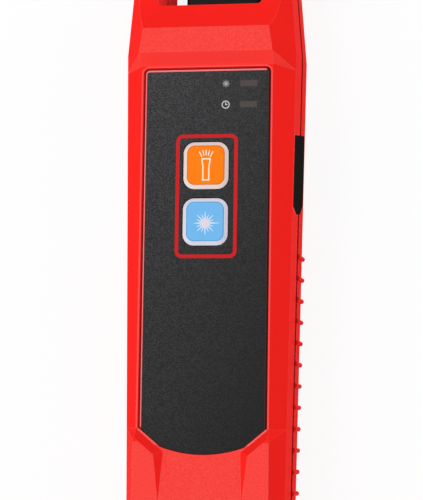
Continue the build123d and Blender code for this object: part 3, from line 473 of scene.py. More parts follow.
@dataclass(frozen=True)
class RearShell(Moulded):
    """Rear shell: painted shadow on the rim that shows as a line between the shells, red on the ribs
    beside it.

    The rim lies round the top of the seal. Beside it the wall is half_width from the middle
    at Y = 0, and widening further for each millimetre towards the port.
    """

    # Painted shadow on the rim, where the shells meet.
    seam: Pair = (0.04, 1.0)
    seam_shade_tint: float = 0.36
    half_width: float = 19.48
    widening: float = 0.01525
    blur: float = 0.06

    def shade(self, shader: Shader, colour: Wire) -> Wire:
        """Paints shadow on the rim inside the line that the side wall follows.

        Args:
            shader: the material's shader.
            colour: the shell's colour.

        Returns:
            The colour with the painted shadow on the rim.
        """
        # The dark rim is painted shadow.
        x, y, _ = shader.place()
        beyond = abs(x) - y * self.widening - self.half_width
        rim = shader.near_top("seam_gasket", self.seam) * beyond.ramp(self.blur, 0.0)
        return shader.blend(colour, tinted(self.colour, self.seam_shade_tint), rim)


@dataclass(frozen=True)
class SparkedShell:
    """Red moulded front shell: smooth facets, spark-eroded crowns and a framed plate.

    The crowns and the heel have a spark-eroded texture. Facets that lean towards the low end are
    painted lighter, as painted light; the edges get a painted highlight; a painted shadow round the
    plate, a painted highlight outside it and a painted shadow along the line between the shells
    finish it. Sizes are in millimetres. The rim and the seam reach so far below and above the tops
    of the plate and the seal.
    """

    name: str
    smooth: Colour = (0.95, 0.0185, 0.0145)
    smooth_tints: Pair = (0.97, 1.03)
    sparked: Colour = (0.91, 0.036, 0.030)
    sparkle: Colour = (0.95, 0.084, 0.070)
    sparkle_step: Pair = (0.25, 0.75)
    # Painted light: facets that lean towards the low end are painted lighter, as if lit from that side.
    painted_light_facet: Colour = (0.98, 0.044, 0.036)
    painted_light_lean: Pair = (-0.45, -0.6)
    # Painted highlight: the edges are painted paler, by one share on all edges and a larger one on the
    # rim round the plate.
    edge_highlight: Colour = (0.98, 0.40, 0.37)
    wear_and_edge_highlight: float = 0.035
    rim_highlight: float = 0.6
    roughness: float = 0.34
    sparked_roughness: float = 0.62
    unevenness: float = 0.06
    specular: float = 0.001
    shine: float = 0.3
    edge: float = 0.3
    blur: float = 0.1

    grain: float = 0.3
    drift_size: float = 30.0
    relief: float = 0.05
    smooth_relief: float = 0.06
    level: Pair = (0.975, 0.983)
    crown_depth: float = 0.2
    heel_gap: float = 2.8
    heel_blur: float = 0.3

    recess: PlateEdge = PlateEdge(corner=1.1, turn=(-0.7, -0.1), margin=0.2)
    rim: Pair = (0.4, 0.5)
    rim_margin: float = 0.45
    rim_low_gap: float = 1.9
    # Painted highlight on the rim just outside the plate, and painted shadow in the gap round it,
    # darker where it turns into the shade at the right.
    lip_highlight: Colour = (0.98, 0.082, 0.072)
    lip_highlight_width: float = 0.62
    groove_shadow: Colour = (0.57, 0.004, 0.006)
    groove_shadow_width: float = 0.24
    groove_shade: float = 0.16
    line_blur: float = 0.06
    # Painted shadow along the line between the shells.
    seam: Pair = (0.05, 1.4)
    seam_shade_tint: float = 0.44

    def material(self) -> Material:
        """Builds the material: skin, painted light on facets that lean to the low end, texture and
        painted edge highlights, then painted lines of shade and highlight on top of them.

        Returns:
            The material.
        """
        shader = Shader(self.name)
        rough = self.textured(shader)
        grain = shader.noise(self.grain, detail=4.0)
        drift = shader.noise(self.grain * self.drift_size)
        edges = shader.edges(self.edge)
        skin = shader.mottled(self.smooth, self.smooth_tints, drift)
        # Painted light: facets that face towards the low end are painted lighter.
        skin = shader.blend(skin, self.painted_light_facet, shader.facing("Y").ramp(*self.painted_light_lean))
        coarse = shader.blend(self.sparked, self.sparkle, grain.ramp(*self.sparkle_step))
        skin = shader.blend(skin, coarse, rough)
        # Painted highlight on the edges, strongest on the plate's rim.
        wear_and_edge_highlight = self.wear_and_edge_highlight + self.inner_rim(shader) * (self.rim_highlight - self.wear_and_edge_highlight)
        skin = self.framed(shader, shader.blend(skin, self.edge_highlight, edges * wear_and_edge_highlight))
        # Painted shadow along the line between the shells.
        seam = shader.near_top("seam_gasket", self.seam)
        skin = shader.blend(skin, tinted(self.smooth, self.seam_shade_tint), seam)
        step = (self.sparked_roughness - self.roughness) * rough
        roughness = self.roughness + step + (drift - 0.5) * self.unevenness
        height = grain * (rough * (1 - self.smooth_relief) + self.smooth_relief)
        normal = shader.relief(height, self.relief, self.edge)
        shader.vary(Channel.COAT, edges * self.shine)
        fixed = {"Specular_IOR_Level": self.specular, "Coat_Roughness": 0.3}
        return shader.finish(skin, roughness, normal, **fixed)

    def textured(self, shader: Shader) -> Wire:
        """Marks the textured faces: the level ones that are high or at the heel.

        Args:
            shader: the material's shader.

        Returns:
            1 on them, 0 elsewhere.
        """
        _, y, z = shader.place()
        crown_z = node_box("front_shell")[1][2] - self.crown_depth
        heel_y = node_box("face_plate")[0][1] + self.heel_gap
        high = z.ramp(crown_z, crown_z + self.blur)
        heel = y.ramp(heel_y, heel_y - self.heel_blur)
        return shader.facing().ramp(*self.level) * high.most(heel)

    def inner_rim(self, shader: Shader) -> Wire:
        """Marks the rim's inner edge, down to the plate's cut corners, where the edges' painted
        highlight is strongest.

        Args:
            shader: the material's shader.

        Returns:
            1 on it, 0 elsewhere.
        """
        x, y, _ = shader.place()
        low, high = node_box("face_plate")
        side = high[0] + self.rim_margin
        top = high[1] + self.rim_margin
        bottom = low[1] + self.rim_low_gap
        across = abs(x).ramp(side, side - self.blur)
        along = y.ramp(bottom, bottom + self.blur) * y.ramp(top, top - self.blur)
        return across * along * shader.near_top("face_plate", self.rim)

    def framed(self, shader: Shader, skin: Wire) -> Wire:
        """Paints a shadow into the gap round the plate and a highlight onto the rim just outside it.

        Args:
            shader: the material's shader.
            skin: colour of the shell without them.

        Returns:
            The colour with both painted lines, by the distance to the recess's outline.
        """
        distance, above, shade = self.recess.measure(shader)
        zone = above * shader.near_top("face_plate", self.rim)
        lip_highlight = zone * distance.ramp(self.lip_highlight_width + self.line_blur, self.lip_highlight_width)
        groove_shadow = zone * distance.ramp(self.groove_shadow_width + self.line_blur, self.groove_shadow_width)
        # The shadow in the gap is painted, and darker still at the right side; so is the highlight
        # outside it.
        dark = shader.mottled(self.groove_shadow, (1.0, self.groove_shade), shade)
        return shader.blend(shader.blend(skin, self.lip_highlight, lip_highlight), dark, groove_shadow)


@dataclass(frozen=True)
class SpeckledPlate:
    """Dark face plate with a fine speckle and a bevelled edge.

    The speckle is painted paler towards the port and the left, as painted light; its two tints
    spread by so much for each millimetre from a given middle Y. The bevelled edge is painted lit at
    the left and the top, and painted in shadow at the right.
    """

    name: str
    colour: Colour = (0.0122, 0.0122, 0.0132)
    low_tints: Pair = (0.05, 0.36)
    high_tints: Pair = (0.7, 4.75)
    speckle: float = 0.28
    broad_size: float = 2.6
    broad_share: float = 0.2
    contrast: Pair = (0.38, 0.66)
    # Painted light: how fast the plate pales towards the port and the left.
    painted_light_fade: float = 0.0073
    painted_light_fade_across: float = 0.0165
    painted_light_fade_middle: float = 8.0
    roughness: float = 0.42
    unevenness: float = 0.25
    relief: float = 0.035
    edge: float = 0.12
    shine: float = 0.5
    shine_edge: float = 0.25

    border: PlateEdge = PlateEdge(corner=0.9, turn=(-0.7, -0.5), top_inset=0.1)
    # Painted highlight at the left and the top of the bevelled edge, painted shadow at its right.
    lit: Colour = (0.96, 0.20, 0.19)
    shaded: Colour = (0.034, 0.008, 0.008)
    bevel_light_and_shade: Pair = (-0.35, -0.25)

    def material(self) -> Material:
        """Builds the material: two sizes of speckle, stronger where they agree, the painted light
        towards the port and the left, and the painted light and shade on the bevelled edge.

        Returns:
            The material.
        """
        shader = Shader(self.name)
        x, y, _ = shader.place()
        fine = shader.noise(self.speckle, detail=3.0)
        broad = shader.noise(self.speckle * self.broad_size, detail=1.0)
        share = (fine * (1 - self.broad_share) + broad * self.broad_share).ramp(*self.contrast)
        # Painted light: the plate is paler towards the port and the left.
        painted_light_fade = (y - self.painted_light_fade_middle) * self.painted_light_fade - x * self.painted_light_fade_across + 0.5
        low = shader.mottled(self.colour, self.low_tints, painted_light_fade)
        high = shader.mottled(self.colour, self.high_tints, painted_light_fade)
        distance, above, shade = self.border.measure(shader)
        # Painted highlight on the bevelled edge at the left and the top, painted shadow at the right.
        bevel_light_and_shade = above * distance.ramp(*self.bevel_light_and_shade)
        edge = shader.blend(self.lit, self.shaded, shade)
        face = shader.blend(shader.blend(low, high, share), edge, bevel_light_and_shade)
        roughness = self.roughness + (fine - 0.5) * self.unevenness
        normal = shader.relief(fine, self.relief, self.edge)
        shader.vary(Channel.COAT, shader.edges(self.shine_edge) * self.shine)
        return shader.finish(face, roughness, normal, Specular_IOR_Level=0.2, Coat_Roughness=0.25)


@dataclass(frozen=True)
class KeyCap:
    """Key with a pale bevelled border round a field of colour, and a thin darker line between."""

    name: str
    patch: Outline
    colour: Colour
    border: Colour
    colour_tints: Pair = (0.94, 1.05)
    border_tints: Pair = (0.93, 1.05)
    cloud: float = 1.6
    blur: float = 0.05
    line: float = 0.14
    line_tint: float = 0.4
    line_strength: float = 0.6
    grain: float = 0.25
    depth: float = 0.003
    edge: float = 0.22
    roughness: float = 0.34
    unevenness: float = 0.1

    def material(self) -> Material:
        """Builds the material: the line runs just inside the outline of the field.

        Returns:
            The material.
        """
        shader = Shader(self.name)
        distance = shader.distance_to(self.patch)
        inside = distance.ramp(self.blur, -self.blur)
        line = 1 - abs(distance + self.line).ramp(0.0, self.line)
        cloud = shader.noise(self.cloud)
        grain = shader.noise(self.grain)
        tone = shader.mottled(self.colour, self.colour_tints, cloud)
        pale = shader.mottled(self.border, self.border_tints, cloud)
        colour = shader.blend(pale, tone, inside)
        dark = tinted(self.colour, self.line_tint)
        colour = shader.blend(colour, dark, line * self.line_strength)
        roughness = self.roughness + (grain - 0.5) * self.unevenness
        normal = shader.relief(grain, self.depth, self.edge)
        fixed = {"Specular_IOR_Level": 0.1, "Coat_Weight": 0.04, "Coat_Roughness": 0.2}
        return shader.finish(colour, roughness, normal, **fixed)


@dataclass(frozen=True)
class Metal:
    """Turned, plated or stamped metal with fine tool marks and a faint stain."""

    name: str
    colour: Colour
    roughness: float = 0.25
    unevenness: float = 0.2
    marks: Triple = (1.0, 1.0, 1.0)
    mark_size: float = 0.4
    stain_size: float = 3.0
    stain_tints: Pair = (0.9, 1.04)
    depth: float = 0.003
    edge: float = 0.08

    def material(self) -> Material:
        """Builds the material: the marks run where the noise is stretched least.

        Returns:
            The material.
        """
        shader = Shader(self.name)
        marks = shader.noise(self.mark_size, detail=4.0, stretch=self.marks)
        stain = shader.noise(self.stain_size)
        colour = shader.mottled(self.colour, self.stain_tints, stain)
        roughness = self.roughness + (marks - 0.5) * self.unevenness
        normal = shader.relief(marks, self.depth, self.edge)
        return shader.finish(colour, roughness, normal, Metallic=1.0)


@dataclass(frozen=True)
class Clear:
    """Glass or clear resin with a faint bloom."""

    name: str
    colour: Colour
    roughness: float = 0.05
    transmission: float = 1.0
    index: float = 1.5
    bloom_size: float = 2.0
    bloom_tints: Pair = (0.97, 1.0)
    bloom_roughness: float = 0.03
    depth: float = 0.002
    edge: float = 0.08

    def material(self) -> Material:
        """Builds the material.

        Returns:
            The material.
        """
        shader = Shader(self.name)
        bloom = shader.noise(self.bloom_size)
        colour = shader.mottled(self.colour, self.bloom_tints, bloom)
        roughness = self.roughness + bloom * self.bloom_roughness
        normal = shader.relief(bloom, self.depth, self.edge)
        fixed = {"IOR": self.index, "Transmission_Weight": self.transmission}
        return shader.finish(colour, roughness, normal, **fixed)


@dataclass(frozen=True)
class SolderMask:
    """Green circuit board with paler tracks under its mask and a bare edge.

    The tracks are pitch apart. They run across in one region and along in the other, bent by
    up to bend millimetres.
    """

    name: str
    mask: Colour = (0.010, 0.085, 0.035)
    track: Colour = (0.030, 0.180, 0.075)
    bare: Colour = (0.42, 0.36, 0.20)
    pitch: float = 1.9
    bend: float = 5.0
    bend_size: float = 9.0
    region_size: float = 12.0
    region_step: Pair = (0.47, 0.5)
    along_crest: Pair = (0.72, 0.82)
    across_crest: Pair = (0.86, 0.93)
    level: Pair = (0.4, 0.6)
    roughness: float = 0.3
    bare_roughness: float = 0.7
    relief: float = 0.03
    edge: float = 0.05

    def material(self) -> Material:
        """Builds the material: tracks are the crests of two waves bent by noise.

        Returns:
            The material.
        """
        shader = Shader(self.name)
        x, y, _ = shader.place()
        bend = shader.noise(self.bend_size, detail=0.0) * self.bend
        turn = 2 * math.pi / self.pitch
        along = ((x + bend) * turn).wave().ramp(*self.along_crest)
        across = ((y + bend) * turn).wave().ramp(*self.across_crest)
        region = shader.noise(self.region_size, detail=0.0).ramp(*self.region_step)
        track = along * region + across * (1 - region)
        level = abs(shader.facing()).ramp(*self.level)
        face = shader.blend(self.mask, self.track, track)
        colour = shader.blend(self.bare, face, level)
        roughness = self.roughness + (1 - level) * (self.bare_roughness - self.roughness)
        normal = shader.relief(track, self.relief, self.edge)
        return shader.finish(colour, roughness, normal, Coat_Weight=0.3)


@dataclass(frozen=True)
class CellSleeve:
    """Printed sleeve of a dry cell: a dark body, a copper-coloured band and bright steel ends.

    A copper-coloured line runs line_gap past the band, and the print stops a lap from each end.
    """

    name: str
    low_y: float
    high_y: float
    nib_up: bool
    body: Colour = (0.020, 0.035, 0.060)
    band: Colour = (0.62, 0.30, 0.12)
    steel: Colour = (0.66, 0.65, 0.62)
    band_length: float = 13.0
    line_gap: float = 1.2
    line_half: Pair = (0.35, 0.3)
    lap: float = 0.7
    blur: float = 0.05
    wear_and_edge_highlight: float = 1.2
    depth: float = 0.006
    edge: float = 0.3
    roughness: float = 0.22
    unevenness: float = 0.14

    def material(self) -> Material:
        """Builds the material: the print runs between the laps, its band next to the nib.

        Returns:
            The material.
        """
        shader = Shader(self.name)
        _, y, _ = shader.place()
        from_nib = self.high_y - y if self.nib_up else y - self.low_y
        band = from_nib.ramp(self.band_length + self.blur, self.band_length - self.blur)
        line = abs(from_nib - self.band_length - self.line_gap).ramp(*self.line_half)
        sleeve = shader.blend(self.body, self.band, band.most(line))
        middle = (self.low_y + self.high_y) / 2
        reach = (self.high_y - self.low_y) / 2 - self.lap
        end = abs(y - middle).ramp(reach - self.blur, reach + self.blur)
        wear_and_edge_highlight = shader.noise(self.wear_and_edge_highlight, detail=3.0)
        colour = shader.blend(sleeve, self.steel, end)
        roughness = self.roughness + wear_and_edge_highlight * self.unevenness
        normal = shader.relief(wear_and_edge_highlight, self.depth, self.edge)
        return shader.finish(colour, roughness, normal, Coat_Weight=0.4, Metallic=0.55)


@dataclass(frozen=True)
class Ink:
    """Screen-printed ink, slightly uneven."""

    name: str
    colour: Colour
    tints: Pair = (0.88, 1.06)
    roughness: float = 0.5
    unevenness: float = 0.15
    mottle: float = 0.3
    depth: float = 0.004
    edge: float = 0.02

    def material(self) -> Material:
        """Builds the material.

        Returns:
            The material.
        """
        shader = Shader(self.name)
        mottle = shader.noise(self.mottle, detail=3.0)
        colour = shader.mottled(self.colour, self.tints, mottle)
        roughness = self.roughness + (mottle - 0.5) * self.unevenness
        normal = shader.relief(mottle, self.depth, self.edge)
        return shader.finish(colour, roughness, normal, Specular_IOR_Level=0.1)


def dress(finish: Finish, *nodes: str) -> None:
    """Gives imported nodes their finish.

    Args:
        finish: the finish that they share.
        nodes: names of the nodes.
    """
    material = finish.material()
    for node in nodes:
        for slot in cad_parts[node].material_slots:
            slot.material = material
        LOG.info("dressed %s in %s", node, finish.name)


@dataclass
class Stroke:
    """A printed line: points in millimetres, with one width or a width at each point."""

    path: np.ndarray
    width: float | np.ndarray
    closed: bool = False

    def sides(self) -> np.ndarray:
        """Mitred side vectors of the path.

        The side at a point is square to the mean of the directions before and after it,
        and longer by one over the cosine of half the turn, so that the line keeps its width.

        Returns:
            One vector for each point.
        """
        ahead = np.roll(self.path, -1, axis=0) - self.path
        if not self.closed:
            ahead[-1] = ahead[-2]
        ahead = ahead / np.linalg.norm(ahead, axis=1, keepdims=True)
        behind = np.roll(ahead, 1, axis=0)
        if not self.closed:
            behind[0] = ahead[0]
        mean = ahead + behind
        mean = mean / np.linalg.norm(mean, axis=1, keepdims=True)
        cosine = np.sum(mean * ahead, axis=1, keepdims=True)
        return np.stack([-mean[:, 1], mean[:, 0]], axis=1) / cosine


@dataclass
class PrintMaker:
    """Builds prints as thin raised solids, each a flat profile carried along strokes."""

    height: float = 0.03
    sink: float = 0.01
    chamfer: float = 0.3
    points: list[np.ndarray] = field(default_factory=list)
    faces: list[list[int]] = field(default_factory=list)
    count: int = 0

    def line(self, stroke: Stroke, level: float) -> None:
        """Adds one stroke to the print.

        The section has four points: the foot at both edges, and the top, drawn in by a share
        of the height. Point i of the path and point j of the section give vertex 4 i + j.

        Args:
            stroke: the line to carry the section along.
            level: height of the surface that it is printed on, in millimetres.
        """
        half = np.broadcast_to(np.asarray(stroke.width, float) / 2, (len(stroke.path),))
        drawn_in = self.chamfer * self.height
        across = np.stack([-half, -(half - drawn_in), half - drawn_in, half], axis=1)
        base, top = level - self.sink, level + self.height
        z = np.broadcast_to(np.array([base, top, top, base]), across.shape)
        flat = stroke.path[:, None, :] + across[:, :, None] * stroke.sides()[:, None, :]
        grid = np.concatenate([flat, z[:, :, None]], axis=2)
        self._add_grid(grid, stroke.closed)

    def disc(self, centre: Sequence[float], radius: float, level: float, steps: int = 40) -> None:
        """Adds a filled disc: a ring at the foot and one at the top, closed by flat faces.

        Args:
            centre: X and Y of its centre, in millimetres.
            radius: its radius.
            level: height of the surface that it is printed on.
            steps: number of points round it.
        """
        foot = circle(centre, radius, steps)
        top = circle(centre, radius - self.chamfer * self.height, steps)
        flat = np.stack([foot, top])
        z = np.array([level - self.sink, level + self.height])
        height = np.broadcast_to(z[:, None, None], (2, steps, 1))
        self._add_grid(np.concatenate([flat, height], axis=2), False)

    def _add_grid(self, grid: np.ndarray, closed: bool) -> None:
        """Adds a tube of quads over a grid of points, with flat ends unless it is closed.

        Args:
            grid: points by row and column; the columns always close on themselves.
            closed: whether the rows close too.
        """
        rows, columns = grid.shape[:2]
        index = np.arange(rows * columns).reshape(rows, columns) + self.count
        last = rows if closed else rows - 1
        i = np.arange(last)[:, None]
        j = np.arange(columns)[None, :]
        i_next, j_next = (i + 1) % rows, (j + 1) % columns
        quads = np.stack(
            [index[i, j], index[i_next, j], index[i_next, j_next], index[i, j_next]], axis=2
        )
        self.faces += quads.reshape(-1, 4).tolist()
        if not closed:
            self.faces += [index[0].tolist(), index[-1][::-1].tolist()]
        self.points.append(grid.reshape(-1, 3))
        self.count += rows * columns

    def finish(self, name: str, ink: Ink, body: Body, slot: str) -> bpy.types.Object:
        """Makes one object of all that was added.

        Args:
            name: name of the piece.
            ink: its finish.
            body: the body that it rides on.
            slot: not used.

        Returns:
            The finished piece.
        """
        mesh = bpy.data.meshes.new(name)
        mesh.from_pydata((np.concatenate(self.points) * MM).tolist(), [], self.faces)
        mesh.materials.append(ink.material())
        turn_outwards(mesh)
        piece = placed(name, mesh)
        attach(piece, body.value)
        LOG.info("printed %s: %d faces", name, len(mesh.polygons))
        return piece


def turn_outwards(mesh: bpy.types.Mesh) -> None:
    """Makes all faces of a mesh point outwards.

    Args:
        mesh: closed mesh, changed in place.
    """
    work = bmesh.new()
    work.from_mesh(mesh)
    bmesh.ops.recalc_face_normals(work, faces=work.faces)
    work.to_mesh(mesh)
    work.free()


def circle(centre: Sequence[float], radius: float, steps: int) -> np.ndarray:
    """Points round a circle: the centre plus the radius at evenly spaced angles."""
    angle = np.linspace(0, 2 * np.pi, steps, endpoint=False)
    return np.asarray(centre) + radius * np.stack([np.cos(angle), np.sin(angle)], axis=1)


def rounded_rectangle(outline: Outline, steps: int = 8) -> np.ndarray:
    """Points round a rounded rectangle.

    Each quarter is the corner's centre plus the radius at evenly spaced angles of its
    quarter turn.

    Args:
        outline: the rectangle.
        steps: steps in each corner.

    Returns:
        The points, one for each row.
    """
    corner = outline.corner
    quarter = np.arange(4)[:, None]
    angle = (quarter + np.linspace(0, 1, steps + 1)) * np.pi / 2
    side_x = np.where(np.isin(quarter, (0, 3)), 1, -1) * (outline.size[0] / 2 - corner)
    side_y = np.where(quarter < 2, 1, -1) * (outline.size[1] / 2 - corner)
    x = outline.centre[0] + side_x + corner * np.cos(angle)
    y = outline.centre[1] + side_y + corner * np.sin(angle)
    return np.stack([x.ravel(), y.ravel()], axis=1)


@dataclass
class Burst:
    """A burst sign: a disc with long, middle and short rays by turns.

    Each ray narrows from the root's width to the tip's, and starts inside the disc, at a
    share of its radius. The scale is a factor on all sizes.
    """

    centre: Sequence[float]
    scale: float = 1.0
    disc: float = 1.08
    long_ray: float = 2.7
    far_ray: float = 3.3
    slant_ray: float = 2.65
    short_ray: float = 2.1
    root: float = 0.38
    tip: float = 0.11
    start: float = 0.6
    count: int = 16

    def rays(self) -> Iterable[Stroke]:
        """Tapered rays round the centre; the one to the right is the longest.

        Yields:
            One stroke for each ray, from inside the disc to its tip.
        """
        for turn in range(self.count):
            angle = 2 * math.pi * turn / self.count
            reach = (self.long_ray, self.short_ray, self.slant_ray, self.short_ray)[turn % 4]
            reach = self.far_ray if turn == 0 else reach
            direction = np.array([math.cos(angle), math.sin(angle)])
            radii = np.array([self.disc * self.start, reach])[:, None] * self.scale
            width = np.array([self.root, self.tip]) * self.scale
            yield Stroke(np.asarray(self.centre) + radii * direction, width)


@dataclass
class TorchSign:
    """A torch sign: the outline of a torch under a fan of rays."""

    centre: Sequence[float]
    line: float = 0.33
    head_half: float = 0.92
    barrel_half: float = 0.70
    head_top: float = 1.46
    head_low: float = 0.85
    neck: float = -0.2
    foot: float = -3.44
    fan_low: float = 2.28
    fan_high: float = 3.58
    fan_base: float = 0.96
    fan_spread: float = 1.6
    fan_drop: float = 0.42
    fan_line: float = 0.26
    fan_count: int = 5

    def outline(self) -> Stroke:
        """Outline of the torch, mirrored across its axis.

        Returns:
            The outline as a closed stroke.
        """
        right = [
            (self.head_half, self.head_top), (self.head_half, self.head_low),
            (self.barrel_half, self.neck), (self.barrel_half, self.foot),
        ]
        left = [(-x, y) for x, y in reversed(right)]
        return Stroke(np.asarray(self.centre) + np.array(right + left), self.line, closed=True)

    def fan(self) -> Iterable[Stroke]:
        """Rays that spread a little over the torch, the outer ones set lower.

        A ray at a share of the half fan, from -1 to 1, drops by the share squared.

        Yields:
            One stroke for each ray, from its low end to its high end.
        """
        for share in np.linspace(-1, 1, self.fan_count):
            drop = self.fan_drop * share**2
            low = (share * self.fan_base, self.fan_low - drop)
            high = (share * self.fan_spread, self.fan_high - drop)
            yield Stroke(np.asarray(self.centre) + np.array([low, high]), self.fan_line)


@dataclass
class Housing:
    """The two shells with their seal, grip pads and fasteners."""

    rear_red: Colour = (0.93, 0.0185, 0.0145)
    seal: Colour = (0.11, 0.005, 0.005)
    pad: Colour = (0.013, 0.0135, 0.0125)
    steel: Colour = (0.42, 0.42, 0.43)
    brass: Colour = (0.72, 0.52, 0.22)

    def dress(self) -> None:
        """Gives each of them its finish."""
        dress(SparkedShell("red_shell_front"), "front_shell")
        rear = RearShell("red_shell_rear", self.rear_red, grain=0.5, edge=0.22, specular=0.001)
        dress(rear, "rear_shell", "battery_door")
        dress(Moulded("seal_rubber", self.seal, roughness=0.7, edge=0.05), "seam_gasket")
        pad = Moulded(
            "pad_rubber", self.pad, roughness=0.6, grain=0.9, depth=0.05, mottle=0.35, edge=0.3,
            specular=0.0,
        )
        dress(pad, "grip_pad_right", "grip_pad_left")
        dress(Metal("screw_steel", self.steel, roughness=0.3), "shell_screws", "board_screws")
        dress(Metal("insert_brass", self.brass, roughness=0.3), "thread_inserts")


@dataclass
class FacePanel:
    """The dark plate with its printed ring, its indicator windows and their signs."""

    ring_width: float = 14.45
    ring_shift: float = 0.17
    ring_top_gap: float = 1.85
    ring_low_gap: float = 2.92
    ring_line: float = 0.85
    ring_corner: float = 1.25
    ring_ink: Colour = (0.60, 0.012, 0.014)
    key_flange: float = 0.7
    laser_window: Colour = (0.062, 0.044, 0.043)
    timer_window: Colour = (0.054, 0.049, 0.043)
    sign_offset: float = 5.3
    sign_ink: Colour = (0.60, 0.60, 0.60)
    burst_scale: float = 0.36
    burst_far_ray: float = 2.62
    burst_steps: int = 20
    clock_radius: float = 0.82
    clock_line: float = 0.24
    clock_steps: int = 32
    long_hand: float = 0.55
    short_hand: float = 0.42

    def dress(self) -> None:
        """Gives the plate and the windows their finishes."""
        dress(SpeckledPlate("plate_speckle"), "face_plate")
        windows = {
            "laser_light_guide": ("window_reddish", self.laser_window),
            "timer_light_guide": ("window_olive", self.timer_window),
        }
        for guide, (name, colour) in windows.items():
            dress(Moulded(name, colour, roughness=0.3, edge=0.08), guide)

    def build(self) -> None:
        """Prints the ring round the keys and the two small signs beside the windows."""
        level = node_box("face_plate")[1][2]
        torch_low, torch_high = node_box("torch_key")
        laser_low, _ = node_box("laser_key")
        outer = self.ring_width - self.ring_line
        top = torch_high[1] - self.key_flange + self.ring_top_gap - self.ring_line / 2
        low = laser_low[1] + self.key_flange - self.ring_low_gap + self.ring_line / 2
        centre = ((torch_low[0] + torch_high[0]) / 2 + self.ring_shift, (top + low) / 2)
        path = rounded_rectangle(Outline(centre, (outer, top - low), self.ring_corner))
        ring = PrintMaker()
        ring.line(Stroke(path, self.ring_line, closed=True), level)
        ring.finish("key_ring_print", Ink("ring_ink", self.ring_ink), Body.HOUSING, "face_plate")
        self._signs(level)

    def _signs(self, level: float) -> None:
        """Prints a small burst and a small clock.

        Args:
            level: height of the plate's surface, in millimetres.
        """
        sign = PrintMaker()
        centre = self._sign_centre("laser_light_guide")
        burst = Burst(centre, self.burst_scale, far_ray=self.burst_far_ray)
        sign.disc(centre, burst.disc * burst.scale, level, steps=self.burst_steps)
        for ray in burst.rays():
            sign.line(ray, level)
        centre = self._sign_centre("timer_light_guide")
        rim = circle(centre, self.clock_radius, self.clock_steps)
        sign.line(Stroke(rim, self.clock_line, closed=True), level)
        hands = np.array([[0.0, self.long_hand], [0.0, 0.0], [self.short_hand, 0.0]]) + centre
        sign.line(Stroke(hands, self.clock_line), level)
        sign.finish("indicator_signs", Ink("sign_ink", self.sign_ink), Body.HOUSING, "face_plate")

    def _sign_centre(self, guide: str) -> Pair:
        """X and Y of the sign beside an indicator window."""
        low, high = node_box(guide)
        return (low[0] + high[0]) / 2 - self.sign_offset, (low[1] + high[1]) / 2


@dataclass
class Keypad:
    """The two keys, their signs and what lies under them."""

    flange: float = 0.7
    border: float = 0.86
    patch_shift: float = 0.1
    corner: float = 1.8
    orange: Colour = (0.98, 0.205, 0.0015)
    orange_border: Colour = (0.86, 0.74, 0.71)
    blue: Colour = (0.165, 0.47, 0.83)
    blue_border: Colour = (0.76, 0.75, 0.86)
    ivory: Colour = (0.62, 0.58, 0.48)
    black: Colour = (0.02, 0.02, 0.02)
    torch_shift: Pair = (0.17, 0.0)
    torch_ink: Colour = (0.93, 0.80, 0.62)
    burst_shift: Pair = (0.16, -0.38)
    ray_ink: Colour = (0.70, 0.84, 0.93)
    disc_ink: Colour = (0.76, 0.68, 0.75)
    disc_height: float = 0.05

    def _patch(self, key: str) -> Outline:
        """Finds a key's field of colour, a little to the right of the key's middle.

        Args:
            key: name of the key's node.

        Returns:
            The field's outline.
        """
        low, high = node_box(key)
        middle = (low + high) / 2
        size = (high - low) - 2 * (self.flange + self.border)
        return Outline((middle[0] + self.patch_shift, middle[1]), (size[0], size[1]), self.corner)

    def _sign_place(self, key: str, shift: Sequence[float]) -> tuple[np.ndarray, float]:
        """Centre of a key's sign, at a shift from the key's middle, and the height of its top."""
        low, high = node_box(key)
        return (low[:2] + high[:2]) / 2 + shift, high[2]

    def dress(self) -> None:
        """Gives the keys, plungers and switches their finishes."""
        colours = {
            "torch_key": (self.orange, self.orange_border), "laser_key": (self.blue, self.blue_border),
        }
        for key, (colour, border) in colours.items():
            dress(KeyCap(key + "_cap", self._patch(key), colour, border), key)
        dress(Moulded("plunger_ivory", self.ivory, edge=0.1), "torch_plunger", "laser_plunger")
        dress(Moulded("switch_black", self.black, edge=0.1), "torch_switch", "laser_switch")

    def build(self) -> None:
        """Prints the signs on the keys."""
        self._torch_sign()
        self._laser_sign()

    def _torch_sign(self) -> None:
        """Prints the torch and its fan of rays."""
        centre, level = self._sign_place("torch_key", self.torch_shift)
        torch = TorchSign(centre)
        sign = PrintMaker()
        sign.line(torch.outline(), level)
        for ray in torch.fan():
            sign.line(ray, level)
        sign.finish("torch_sign", Ink("cream_ink", self.torch_ink), Body.TORCH_KEY, "torch_key")

    def _laser_sign(self) -> None:
        """Prints the burst: its rays, and over them its disc, which stands a little prouder."""
        centre, level = self._sign_place("laser_key", self.burst_shift)
        burst = Burst(centre)
        rays = PrintMaker()
        for ray in burst.rays():
            rays.line(ray, level)
        rays.finish("laser_sign_rays", Ink("pale_ink", self.ray_ink), Body.LASER_KEY, "laser_key")
        disc = PrintMaker(height=self.disc_height)
        disc.disc(centre, burst.disc, level)
        disc.finish("laser_sign_disc", Ink("rosy_ink", self.disc_ink), Body.LASER_KEY, "laser_key")


